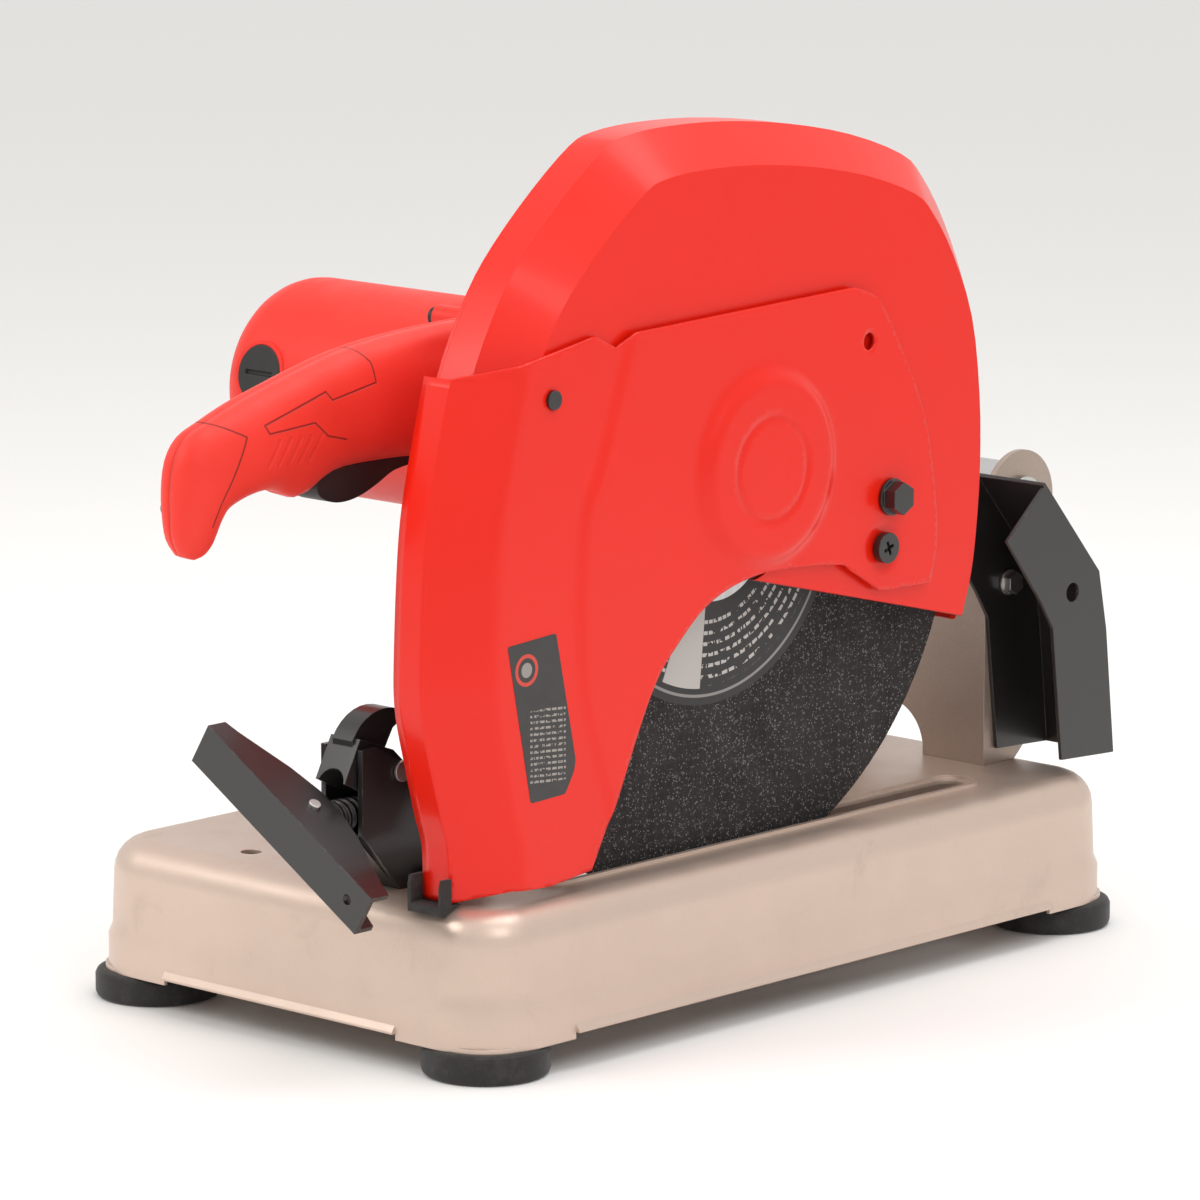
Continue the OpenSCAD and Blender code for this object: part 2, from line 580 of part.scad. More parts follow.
// Side cover: a plate with a joggle and a round boss, and a beveled strip around the front of the guard.
module side_cover() color([0.92, 0.15, 0.12]) difference() {
    n = len(cover_front) - 1;
    union() {
        yz(cover_x, cover_t) difference() {
            polygon(concat([[-189, 328], [-142, 336], [-128, 329], [-116, 335]], smooth(cover_rear, 3),
                smooth(cover_lower, 3), [[-145, 87], [-173, 84]], [for (i = [0:n]) cover_front[i] + [bevel_depth[i], i < 1 ? 6 : 0]]));
            translate(boss_c) circle(r = 47);
        }
        yz(cover_x + 1.2, cover_t) difference() {
            polygon(concat([[-116, 335]], smooth(cover_rear, 3), smooth(cover_lower, 3), smooth(cover_joggle, 3)));
            translate(boss_c) circle(r = 47);
        }
        xturn(boss_c) polygon([[50, cover_x], [50, cover_face], [47, cover_face], [41, cover_x + 8],
            [26.5, cover_x + 8], [25.5, cover_x + 7.2], [24, cover_x + 7.2], [23, cover_x + 8],
            [0, cover_x + 8], [0, cover_x + 8 - cover_t], [40, cover_x + 8 - cover_t], [46, cover_x]]);
        // strip in front of the guard
        yz(strip_x0, strip_x1 - strip_x0) polygon(concat(smooth(cover_front, 2),
            [for (p = [n:-1:0]) cover_front[p] + [2.5, 0]]));
        // bevel between strip and plate
        for (i = [0:2:n - 1]) hull() {
            yz(strip_x1 - eps, eps) bevel_edge(i, 0, 2.5);
            yz(cover_x, cover_t) bevel_edge(i, -1, 1);
        }
    }
    xbar(cover_pin, 110, 130, 4 + run);
    xbar([47, 313], 110, 130, 4);
    xbar([58, 212], 110, 130, 3);
    xbar([-171, 310], 110, 130, 3);
}

// The stretch of the cover's front edge between two of its points, from w0 to w1 behind the edge;
// on the plate (w0 < 0) it lies behind the bevel.
module bevel_edge(i, w0, w1) {
    run_pts = [for (k = [i:i + 2]) cover_front[k] + (w0 < 0 ? [bevel_depth[k], k < 1 ? 6 : 0] : [0, 0])];
    polygon(concat([for (p = run_pts) p + [w0, 0]], [for (k = [2:-1:0]) run_pts[k] + [w1, 0]]));
}

// Rubber clip that grips the lower end of the cover's strip, open to the front.
module cover_bumper() color([0.10, 0.10, 0.10]) difference() {
    yz(strip_x0 - 2.5, strip_x1 - strip_x0 + 5) polygon([[-224, 92], [-225, 88], [-225, 75], [-212, 75], [-212, 90], [-213, 92]]);
    box([strip_x0 - 0.3, -230, 79.4], [strip_x1 + 0.3, -214.7, 100]);
    box([strip_x1, -218.3, 79.4], [strip_x1 + 5, -205, 100]);
    // clear of the pan's front fillet
    xbar([-211, 62], 70, 120, 17);
}

module cover_rivet() color([0.12, 0.11, 0.12]) {
    xbar([-171, 310], cover_x, cover_x + cover_t + eps, 3);
    xbar([-171, 310], cover_x + cover_t, cover_x + cover_t + 2, 4.5);
}

module cover_screw() color([0.12, 0.11, 0.12]) {
    xbar([58, 212], cover_x + 0.1, cover_face + eps, 3);
    difference() {
        xbar([58, 212], cover_face, cover_face + 4, 7.5);
        for (a = [0, 90]) translate([cover_face + 3, 58, 212]) rotate([a + 20, 0, 0]) cube([3, 7, 1.6], center = true);
    }
}

// One-piece motor bucket with a rounded end and two brush bosses.
module motor_housing() color([0.93, 0.20, 0.18]) difference() {
    union() {
        xturn(motor) polygon(concat([[0, motor_x0]], arc([motor_r - 24, motor_x0 + 24], 24, -90, 0, 8),
            [[motor_r, 8], [0, 8]]));
        for (a = [brush_a, brush_a + 180]) translate([brush_x, motor[0], motor[1]]) rotate([a, 0, 0])
            rotate([90, 0, 0]) cylinder(h = motor_r + 0.4, r = 16);
        for (p = motor_screw_places()) xbar(p, -20, 8, 6);
        // collar of the cord inlet
        ybar([-60, motor[1] - 12], motor[0], motor[0] + motor_r + 6, 10);
    }
    xturn(motor) polygon([[0, motor_x0 + 22], [36, motor_x0 + 22], [45, motor_x0 + 40], [45, 4], [45, 9], [0, 9]]);
    xbar(motor, motor_x0 + 10, motor_x0 + 30, 11);
    for (a = [brush_a, brush_a + 180]) translate([brush_x, motor[0], motor[1]]) rotate([a, 0, 0])
        rotate([90, 0, 0]) cylinder(h = 60, r = 14);
    for (p = motor_screw_places()) xbar(p, -30, 10, 2.5);
    ybar([-60, motor[1] - 12], motor[0] + motor_r - 10, motor[0] + motor_r + 10, 6);
    // exhaust slots on the lower side
    for (i = [0:5]) box([-24 + 5 * i, motor[0] - 20, motor[1] - 60], [-21.5 + 5 * i, motor[0] + 20, motor[1] - 40]);
}

brush_x = -124;
brush_a = -13;            // the brushes' axis leans up at the front

module brush_cap(a) color([0.10, 0.10, 0.10]) translate([brush_x, motor[0], motor[1]]) rotate([a, 0, 0]) rotate([90, 0, 0])
    difference() {
        translate([0, 0, 44]) cylinder(h = motor_r - 43.2, r = 13.95);
        translate([-9, -1, motor_r - 0.8]) cube([18, 2, 3]);
    }
module brush_caps() {
    brush_cap(brush_a);
    brush_cap(brush_a + 180);
}

module carbon_brushes() color([0.18, 0.18, 0.18]) for (a = [brush_a, brush_a + 180])
    translate([brush_x, motor[0], motor[1]]) rotate([a, 0, 0]) rotate([90, 0, 0])
        translate([-4, -3, 16.3]) cube([8, 6, 27.7]);

// Four screws clamp the motor to the gear case from outside the bucket.
function motor_screw_places() = [for (a = [34, 124, 214, 304]) motor + 57.5 * [cos(a), sin(a)]];

module motor_screws() color([0.10, 0.10, 0.10])
    for (p = motor_screw_places()) {
        xbar(p, -20.5, 18, 2.5);
        xbar(p, -24, -20, 4.5);
    }

module cord_inlet() color([0.10, 0.10, 0.10]) difference() {
    union() {
        ybar([-60, motor[1] - 12], motor[0] + motor_r - 3, motor[0] + motor_r + 6, 6);
        ybar([-60, motor[1] - 12], motor[0] + motor_r + 6 - eps, motor[0] + motor_r + 10, 8.5);
    }
    ybar([-60, motor[1] - 12], motor[0] + motor_r - 10, motor[0] + motor_r + 20, 4);
}

module stator() color([0.45, 0.45, 0.46]) difference() {
    xbar(motor, -104, -28, 45);
    xbar(motor, -110, -20, 28.6);
}

module armature_shaft() color([0.62, 0.62, 0.63]) {
    xbar(motor, motor_x0 + 12, gear_x0 + eps, 5);
    yz(gear_x0, gear_x1 - gear_x0) translate(motor) gear_outline(pinion_n, gear_dir + 180);
}

module armature_core() color([0.5, 0.42, 0.35]) difference() {
    xbar(motor, -104, -28, 27.8);
    xbar(motor, -110, -20, 5);
}

module commutator() color([0.75, 0.45, 0.28]) difference() {
    xbar(motor, -134, -110, 16);
    xbar(motor, -140, -100, 5);
}

module cooling_fan() color([0.2, 0.2, 0.2]) difference() {
    union() {
        xbar(motor, -16, -13, 42);
        xbar(motor, -16, -4, 10);
        for (i = [0:10]) translate([-4, motor[0], motor[1]]) rotate([i * 360 / 11, 0, 0]) translate([-10, 9, -1]) cube([10, 32, 2]);
    }
    xbar(motor, -20, 0, 5);
}

// A ball bearing along X, as one closed ring.
module bearing(c, x0, x1, r_in, r_out) difference() {
    xbar(c, x0, x1, r_out);
    xbar(c, x0 - 1, x1 + 1, r_in);
}

module armature_bearings() color([0.7, 0.7, 0.72]) {
    bearing(motor, motor_x0 + 12, motor_x0 + 21, 5 + run, 11);
    bearing(motor, 8, 18, 5 + run, 16);
}

module spindle_bearings() color([0.7, 0.7, 0.72]) {
    bearing(spindle, 21, 32, 8.5 + run, 17.5);
    bearing(spindle, 56, 70, 8.5 + run, 22);
}

module spindle() color([0.62, 0.62, 0.63]) difference() {
    union() {
        xbar(spindle, 21, 80.5 + eps, 8.5);
        xbar(spindle, 80.5, 90, 8);
    }
    xbar(spindle, 70, 91, 4);
}

module drive_gear() color([0.55, 0.55, 0.56]) difference() {
    yz(gear_x0, gear_x1 - gear_x0) translate(spindle) gear_outline(gear_n, gear_dir + 180 / gear_n);
    xbar(spindle, 30, 60, 8.5);
    for (i = [0:5]) xbar(spindle + 27 * [cos(60 * i), sin(60 * i)], 30, 60, 7);
}

module inner_flange() color([0.5, 0.5, 0.52]) difference() {
    union() {
        xbar(spindle, 80.5, 84.5, 32);
        xbar(spindle, 84.5 - eps, wheel_x - wheel_t / 2, 38);
        xbar(spindle, wheel_x - wheel_t / 2 - eps, wheel_x + wheel_t / 2 - 0.5, arbor_r - 0.05);
    }
    xbar(spindle, 70, 90, 8);
    xbar(spindle, 89, 95, 4.2);
}

module abrasive_wheel() color([0.16, 0.14, 0.14]) difference() {
    xbar(spindle, wheel_x - wheel_t / 2, wheel_x + wheel_t / 2, wheel_r, $fn = 128);
    xbar(spindle, 80, 100, arbor_r);
}

module wheel_label() color([0.20, 0.19, 0.19]) difference() {
    xbar(spindle, wheel_x + wheel_t / 2, wheel_x + wheel_t / 2 + 0.4, label_r, $fn = 128);
    xbar(spindle, 80, 100, 38.3);
}

module outer_flange() color([0.5, 0.5, 0.52]) difference() {
    union() {
        xbar(spindle, wheel_x + wheel_t / 2, wheel_x + wheel_t / 2 + 4, 38);
        xbar(spindle, wheel_x + wheel_t / 2 + 4 - eps, 101, 26);
    }
    xbar(spindle, 90, 110, 4.2);
    xbar(spindle, 90, wheel_x + wheel_t / 2 + 1.5, 30);
}

module wheel_bolt() color([0.35, 0.35, 0.37]) {
    xbar(spindle, 74, 103 + eps, 4);
    xbar(spindle, 101, 103, 11);
    xhex(spindle, 103, 110, 17);
}

// ---- handle ----

// Stations of the grip, from the root to the pommel: an upper and a lower ball each, as Y, Z, radius.
handle_spine = [[[-112, 311.5, 20], [-112, 286, 17]], [[-160, 310.5, 19.5], [-160, 287, 17]],
    [[-205, 306, 19], [-205, 289, 17]], [[-232, 300, 18.5], [-232, 287, 17]],
    [[-262, 292, 18], [-262, 282, 16.5]], [[-290, 286, 15.5], [11.5 - handle_front, 251, 11.5]]];
// Lobe in front of the trigger
handle_lobe = [[-243, 277, 12], [-229, 271.5, 12.5]];

module ball(b) translate([handle_x, b[0], b[1]]) sphere(r = b[2], $fn = 32);

module handle_body() {
    for (i = [0:4]) hull() for (b = concat(handle_spine[i], handle_spine[i + 1])) ball(b);
    hull() for (b = handle_lobe) ball(b);
}

module handle_half(side) color([0.93, 0.20, 0.18]) difference() {
    intersection() {
        handle_body();
        if (side < 0) box([handle_x - 40, -330, 220], [handle_x, -100, 350]);
        else box([handle_x, -330, 220], [handle_x + 40, -100, 350]);
    }
    // hollow for the switch, the trigger and the lug of the gear case
    box([handle_x - 9.5, -227, 240], [handle_x + 9.5, -143, 302]);
    box([handle_x - 6.05, -143 - eps, 289.95], [handle_x + 6.05, -90, 320.05]);
    // room for the motor
    xbar(motor, -60, 19.3, motor_r + 0.5);
    xbar(motor, 19, 60, 36.5);
    for (p = motor_screw_places()) xbar(p, -60, 19.4, 7.4);
    // screws come in from the left
    for (p = handle_screw_places()) {
        xbar(p, -20, handle_x + 13, 2.05);
        xbar(p, -20, handle_x - 14, 4.6);
    }
    xbar(trigger_pin_at, handle_x - 14, handle_x + 14, 2);
}

function handle_screw_places() = [[-126, 305], [-248, 292], [-296, 262]];
trigger_pin_at = [-151, 285];

module handle_screws() color([0.2, 0.2, 0.2])
    for (p = handle_screw_places()) {
        xbar(p, handle_x - 14 - eps, handle_x + 12, 2);
        xbar(p, handle_x - 16.5, handle_x - 14, 4.2);
    }

module switch_box() color([0.12, 0.12, 0.12]) {
    box([handle_x - 8.5, -215, 287], [handle_x + 8.5, -165, 301]);
    box([handle_x - 3, -200, 284], [handle_x + 3, -188, 287 + eps]);
}

module trigger_pin() color([0.5, 0.5, 0.52]) xbar(trigger_pin_at, handle_x - 14, handle_x + 14, 2);
module handle_left() handle_half(-1);
module handle_right() handle_half(1);

module trigger() color([0.14, 0.14, 0.13]) difference() {
    yz(handle_x - 9, 18) {
        polygon(concat(smooth([[-225, 270], [-225, 263], [-221, 259], [-213, 256.5], [-204, 256.5], [-195, 258.5],
            [-185, 262.5], [-175, 267], [-160, 270], [-152, 280]], 3), [[-158, 283], [-180, 279], [-200, 278], [-216, 276]]));
        translate(trigger_pin_at) circle(r = 5.5);
    }
    xbar(trigger_pin_at, -10, 40, 2 + run);
}

place() base_pan();
place() feet();
place() foot_screws();
place() pivot_bracket();
place() bracket_bolts();
place() pivot_axle();
place() axle_clips();
place() lift_spring();
place() depth_stop_bolt();
place() spark_deflector();
place() deflector_bolt();
place() vise_bracket();
place() vise_bolts();
place() pawl_pin();
place() fence_pivot_bolt();
place() fence();
place() fence_lock_bolt();
place() vise_pawl();
place() jaw_yoke();
place() jaw_pin();
place() vise_jaw();
place() vise_screw();
place() crank_bar();
place() crank_pin();
place() head_arm();
place() gearcase_cover();
place() gearcase_screws();
place() guard_back_plate();
place() upper_guard();
place() guard_screws();
place() cover_pivot_bolt();
place() side_cover();
place() cover_bumper();
place() cover_rivet();
place() cover_screw();
place() motor_housing();
place() motor_screws();
place() brush_caps();
place() cord_inlet();
place() carbon_brushes();
place() stator();
place() armature_shaft();
place() armature_core();
place() commutator();
place() cooling_fan();
place() armature_bearings();
place() spindle_bearings();
place() spindle();
place() drive_gear();
place() inner_flange();
place() abrasive_wheel();
place() wheel_label();
place() outer_flange();
place() wheel_bolt();
place() handle_left();
place() handle_right();
place() handle_screws();
place() switch_box();
place() trigger_pin();
place() trigger();
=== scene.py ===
"""Looks of the abrasive chop saw: materials, detail pieces, floor, lights and camera, in metres."""

import json
import math

import bmesh
import bpy
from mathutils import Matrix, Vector
from mathutils.geometry import delaunay_2d_cdt

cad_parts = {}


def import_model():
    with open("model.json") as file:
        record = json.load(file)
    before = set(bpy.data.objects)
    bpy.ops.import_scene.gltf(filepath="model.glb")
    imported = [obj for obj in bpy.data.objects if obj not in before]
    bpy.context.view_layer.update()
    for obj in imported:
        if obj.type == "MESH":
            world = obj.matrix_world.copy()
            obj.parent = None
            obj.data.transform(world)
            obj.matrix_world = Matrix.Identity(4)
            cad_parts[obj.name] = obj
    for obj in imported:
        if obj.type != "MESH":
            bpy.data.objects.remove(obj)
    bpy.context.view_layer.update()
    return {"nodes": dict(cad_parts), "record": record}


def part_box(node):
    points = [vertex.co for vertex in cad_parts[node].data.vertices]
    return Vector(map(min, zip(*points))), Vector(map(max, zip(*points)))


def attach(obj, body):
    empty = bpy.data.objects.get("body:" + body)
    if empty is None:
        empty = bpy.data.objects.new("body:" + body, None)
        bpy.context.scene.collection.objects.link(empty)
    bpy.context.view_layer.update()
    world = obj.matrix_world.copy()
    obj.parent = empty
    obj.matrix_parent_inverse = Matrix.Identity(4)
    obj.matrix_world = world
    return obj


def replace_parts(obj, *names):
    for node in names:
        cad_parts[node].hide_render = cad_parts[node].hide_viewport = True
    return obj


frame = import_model()
nodes = frame["nodes"]


# ---- places, worked out from the frame ----

def centre(node):
    low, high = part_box(node)
    return (low + high) / 2


MM = 0.001
ORIGIN_X = centre("base_pan").x          # base centre in the saw's own frame
ORIGIN_Y = centre("base_pan").y
SPINDLE = centre("abrasive_wheel")
MOTOR = centre("armature_core")


def at(x, y, z):
    """A point given in millimetres from the base centre on the floor."""
    return Vector((ORIGIN_X + x * MM, ORIGIN_Y + y * MM, z * MM))


# ---- node helpers ----

class Paint:
    """A node material being built: its tree, its shader and short calls for common nodes."""

    def __init__(self, name, colour, rough, metal=0.0, coat=0.0, coat_rough=0.1, specular=0.5, sheen=0.0):
        self.mat = bpy.data.materials.new(name)
        self.mat.use_nodes = True
        self.tree = self.mat.node_tree
        self.shader = self.tree.nodes["Principled BSDF"]
        self.set("Base Color", (*colour, 1.0))
        self.set("Roughness", rough)
        self.set("Metallic", metal)
        self.set("Coat Weight", coat)
        self.set("Coat Roughness", coat_rough)
        self.set("Specular IOR Level", specular)
        self.set("Sheen Weight", sheen)
        coords = self.tree.nodes.new("ShaderNodeTexCoord")
        self.where = coords.outputs["Object"]

    def set(self, socket, value):
        self.shader.inputs[socket].default_value = value

    def feed(self, socket, source):
        self.tree.links.new(source, self.shader.inputs[socket])

    def node(self, kind, settings=None, inputs=None):
        made = self.tree.nodes.new(kind)
        for key, value in (settings or {}).items():
            setattr(made, key, value)
        for key, value in (inputs or {}).items():
            if isinstance(value, bpy.types.NodeSocket):
                self.tree.links.new(value, made.inputs[key])
            else:
                made.inputs[key].default_value = value
        return made

    def stretch(self, scale):
        return self.node("ShaderNodeMapping", inputs={"Vector": self.where, "Scale": scale}).outputs[0]

    def noise(self, scale, detail=4.0, rough=0.6, where=None, distortion=0.0):
        inputs = {"Vector": where or self.where, "Scale": scale, "Detail": detail,
                  "Roughness": rough, "Distortion": distortion}
        return self.node("ShaderNodeTexNoise", inputs=inputs).outputs["Fac"]

    def cells(self, scale, where=None, feature="F1"):
        inputs = {"Vector": where or self.where, "Scale": scale}
        return self.node("ShaderNodeTexVoronoi", {"feature": feature}, inputs)

    def ramp(self, source, low, high, out_low=0.0, out_high=1.0):
        inputs = {"Value": source, "From Min": low, "From Max": high, "To Min": out_low, "To Max": out_high}
        return self.node("ShaderNodeMapRange", inputs=inputs).outputs[0]

    def math(self, operation, a, b=0.0, c=0.0):
        return self.node("ShaderNodeMath", {"operation": operation}, {0: a, 1: b, 2: c}).outputs[0]

    def mix(self, factor, a, b):
        a = (*a, 1.0) if isinstance(a, tuple) and len(a) == 3 else a
        b = (*b, 1.0) if isinstance(b, tuple) and len(b) == 3 else b
        return self.node("ShaderNodeMix", {"data_type": "RGBA"}, {0: factor, 6: a, 7: b}).outputs[2]

    def edges(self, width, low=0.12, high=0.40):
        """Where the surface turns sharply: one on a worn edge, zero on a flat."""
        bevel = self.node("ShaderNodeBevel", {"samples": 4}, {"Radius": width}).outputs[0]
        flat = self.node("ShaderNodeNewGeometry").outputs["Normal"]
        turn = self.node("ShaderNodeVectorMath", {"operation": "DOT_PRODUCT"}, {0: bevel, 1: flat})
        return self.ramp(self.math("SUBTRACT", 1.0, turn.outputs["Value"]), low, high)

    def place(self):
        """The point's x, y and z in metres from the base centre on the floor."""
        moved = self.node("ShaderNodeVectorMath", {"operation": "SUBTRACT"}, {0: self.where, 1: at(0.0, 0.0, 0.0)})
        split = self.node("ShaderNodeSeparateXYZ", inputs={"Vector": moved.outputs[0]})
        return split.outputs[0], split.outputs[1], split.outputs[2]

    def line(self, points, width, soft=0.0003):
        """One on a drawn line through points of (y, z) in millimetres, zero away from it."""
        _, y, z = self.place()
        best = None
        for (ay, az), (by, bz) in zip(points, points[1:]):
            dy, dz = (by - ay) * MM, (bz - az) * MM
            length = dy * dy + dz * dz
            py = self.math("SUBTRACT", y, ay * MM)
            pz = self.math("SUBTRACT", z, az * MM)
            along = self.math("ADD", self.math("MULTIPLY", py, dy / length), self.math("MULTIPLY", pz, dz / length))
            along = self.math("MINIMUM", self.math("MAXIMUM", along, 0.0), 1.0)
            ry = self.math("SUBTRACT", py, self.math("MULTIPLY", along, dy))
            rz = self.math("SUBTRACT", pz, self.math("MULTIPLY", along, dz))
            away = self.math("SQRT", self.math("ADD", self.math("MULTIPLY", ry, ry), self.math("MULTIPLY", rz, rz)))
            best = away if best is None else self.math("MINIMUM", best, away)
        return self.ramp(best, width * MM / 2 + soft, width * MM / 2, 0.0, 1.0)

    def bump(self, height, depth, strength=1.0, after=None, bevel=0.0):
        inputs = {"Height": height, "Distance": depth, "Strength": strength}
        if after is not None:
            inputs["Normal"] = after
        elif bevel:
            inputs["Normal"] = self.node("ShaderNodeBevel", {"samples": 4}, {"Radius": bevel}).outputs[0]
        normal = self.node("ShaderNodeBump", inputs=inputs).outputs[0]
        self.feed("Normal", normal)
        return normal


# ---- materials ----

def enamel(name, colour, rough=0.3, peel=1.0, wear=0.25, bare=(0.32, 0.30, 0.29), coat=0.5, specular=0.5):
    """Powder coat or enamel with orange peel, dust in patches, and paint worn from the edges."""
    p = Paint(name, colour, rough, coat=coat, coat_rough=0.12, specular=specular)
    patches = p.noise(14.0, 3.0)
    dust = p.noise(420.0, 5.0, 0.7)
    dull = tuple(0.93 * c + 0.003 for c in colour)
    tone = p.mix(p.ramp(patches, 0.30, 0.75, 0.0, 0.6), colour, dull)
    chips = p.math("MULTIPLY", p.edges(0.0011), p.ramp(p.noise(160.0, 4.0), 0.52, 0.62))
    worn = p.math("MULTIPLY", chips, wear)
    p.feed("Base Color", p.mix(worn, tone, bare))
    smear = p.math("ADD", p.ramp(patches, 0.3, 0.8, -0.02, 0.04), p.ramp(dust, 0.4, 0.75, 0.0, 0.03))
    p.feed("Roughness", p.math("ADD", smear, rough))
    skin = p.math("ADD", p.math("MULTIPLY", p.noise(260.0, 2.0), 0.7), p.math("MULTIPLY", p.noise(900.0, 2.0), 0.3))
    p.bump(skin, 0.00012 * peel, 0.5, bevel=0.0006)
    return p.mat


def silver_enamel(name, painted_shade=1.0):
    """Warm satin silver on pressed steel: metallic flake, faint smudges, scuffed edges. A shade factor below one
    darkens the whole colour as painted shade.
    """
    body = (0.66 * painted_shade, 0.512 * painted_shade, 0.425 * painted_shade)
    p = Paint(name, body, 0.36, metal=0.55, coat=0.15, coat_rough=0.25)
    flake = p.cells(2600.0).outputs["Color"]
    grey = p.node("ShaderNodeSeparateColor", inputs={"Color": flake}).outputs[0]
    patches = p.noise(9.0, 4.0)
    smudge = p.noise(38.0, 5.0, 0.65, distortion=0.4)
    tone = p.mix(p.ramp(patches, 0.3, 0.75, 0.0, 0.8), body, tuple(0.89 * c for c in body))
    tone = p.mix(p.ramp(grey, 0.0, 1.0, 0.0, 0.10), tone, (0.82, 0.77, 0.70))
    tone = p.mix(p.ramp(smudge, 0.60, 0.78, 0.0, 0.28), tone, (0.36, 0.31, 0.26))
    chips = p.math("MULTIPLY", p.edges(0.0012), p.ramp(p.noise(120.0, 4.0), 0.55, 0.65, 0.0, 0.5))
    p.feed("Base Color", p.mix(chips, tone, (0.25, 0.22, 0.20)))
    p.feed("Roughness", p.ramp(smudge, 0.3, 0.8, 0.31, 0.50))
    p.bump(p.math("ADD", p.noise(320.0, 2.0), p.math("MULTIPLY", grey, 0.25)), 0.00009, 0.5, bevel=0.0008)
    return p.mat


def moulded(name, colour, rough=0.42, grain=1400.0, depth=0.00006, scuff=0.3, sheen=0.0):
    """Moulded plastic: fine spark-eroded grain, slight sink marks and scuffs."""
    p = Paint(name, colour, rough, specular=0.35, sheen=sheen)
    patches = p.noise(22.0, 3.0)
    marks = p.noise(75.0, 6.0, 0.7, where=p.stretch((1.0, 0.25, 1.0)))
    light = tuple(min(1.0, c * 1.25 + 0.02) for c in colour)
    tone = p.mix(p.ramp(patches, 0.3, 0.75, 0.0, 0.35), colour, light)
    tone = p.mix(p.ramp(marks, 0.62, 0.74, 0.0, scuff), tone, light)
    p.feed("Base Color", tone)
    p.feed("Roughness", p.ramp(marks, 0.3, 0.75, rough - 0.05, rough + 0.10))
    p.bump(p.math("ADD", p.noise(grain, 2.0), p.math("MULTIPLY", patches, 0.4)), depth, 0.6, bevel=0.0006)
    return p.mat


def grip(name, colour):
    """Softer grip moulding over nylon: cap seam, overmould edge, slanted ribs and a fine matte grain."""
    p = Paint(name, colour, 0.52, specular=0.32, sheen=0.06)
    seam = p.line(CAP_SEAM, 0.5)
    edge = p.line(OVERMOULD_EDGE, 0.5)
    ribs = None
    for k in range(RIB_COUNT):
        y = RIB_START[0] + k * RIB_STEP
        rib = p.line([(y, RIB_START[1]), (y + RIB_LEAN, RIB_START[1] + RIB_RISE)], 1.0, 0.0009)
        ribs = rib if ribs is None else p.math("MAXIMUM", ribs, rib)
    lines = p.math("MAXIMUM", seam, edge)
    patches = p.noise(24.0, 3.0)
    light = tuple(min(1.0, c * 1.15 + 0.015) for c in colour)
    dark = tuple(c * 0.30 for c in colour)
    tone = p.mix(p.ramp(patches, 0.3, 0.75, 0.0, 0.5), colour, light)
    p.feed("Base Color", p.mix(p.math("MULTIPLY", lines, 0.85), tone, dark))
    p.feed("Roughness", p.ramp(p.noise(90.0, 5.0, 0.7), 0.3, 0.75, 0.46, 0.60))
    height = p.math("SUBTRACT", p.math("MULTIPLY", p.noise(1300.0, 2.0), 0.10), p.math("MAXIMUM", lines, p.math("MULTIPLY", ribs, 0.6)))
    p.bump(height, 0.0006, 0.8, bevel=0.0006)
    return p.mat


def rubber(name):
    colour = (0.022, 0.021, 0.020)
    p = Paint(name, colour, 0.72, specular=0.3, sheen=0.15)
    dust = p.noise(60.0, 6.0, 0.75)
    p.feed("Base Color", p.mix(p.ramp(dust, 0.5, 0.8, 0.0, 0.5), colour, (0.10, 0.09, 0.08)))
    p.feed("Roughness", p.ramp(dust, 0.3, 0.8, 0.62, 0.85))
    p.bump(p.noise(700.0, 4.0), 0.00012, 0.7, bevel=0.0008)
    return p.mat


def steel(name, colour, rough=0.3, grain=(1.0, 1.0, 1.0), stain=0.25, dark=(0.12, 0.10, 0.09)):
    """Bare or plated steel with drawn or turned grain and a little staining."""
    p = Paint(name, colour, rough, metal=1.0)
    lines = p.noise(900.0, 3.0, 0.6, where=p.stretch(grain))
    blotch = p.noise(70.0, 5.0, 0.7)
    tone = p.mix(p.ramp(lines, 0.3, 0.7, 0.0, 0.3), colour, tuple(c * 0.72 for c in colour))
    p.feed("Base Color", p.mix(p.ramp(blotch, 0.55, 0.8, 0.0, stain), tone, dark))
    p.feed("Roughness", p.math("ADD", p.ramp(lines, 0.2, 0.8, -0.06, 0.10), p.ramp(blotch, 0.4, 0.8, rough, rough + 0.15)))
    p.bump(lines, 0.00005, 0.5, bevel=0.0004)
    return p.mat


def cast_alloy(name):
    colour = (0.52, 0.52, 0.52)
    p = Paint(name, colour, 0.48, metal=0.9)
    sand = p.noise(650.0, 4.0, 0.7)
    oil = p.noise(30.0, 5.0, 0.7)
    p.feed("Base Color", p.mix(p.ramp(oil, 0.5, 0.8, 0.0, 0.5), colour, (0.22, 0.21, 0.20)))
    p.feed("Roughness", p.ramp(sand, 0.3, 0.8, 0.40, 0.62))
    p.bump(sand, 0.00018, 0.6, bevel=0.001)
    return p.mat


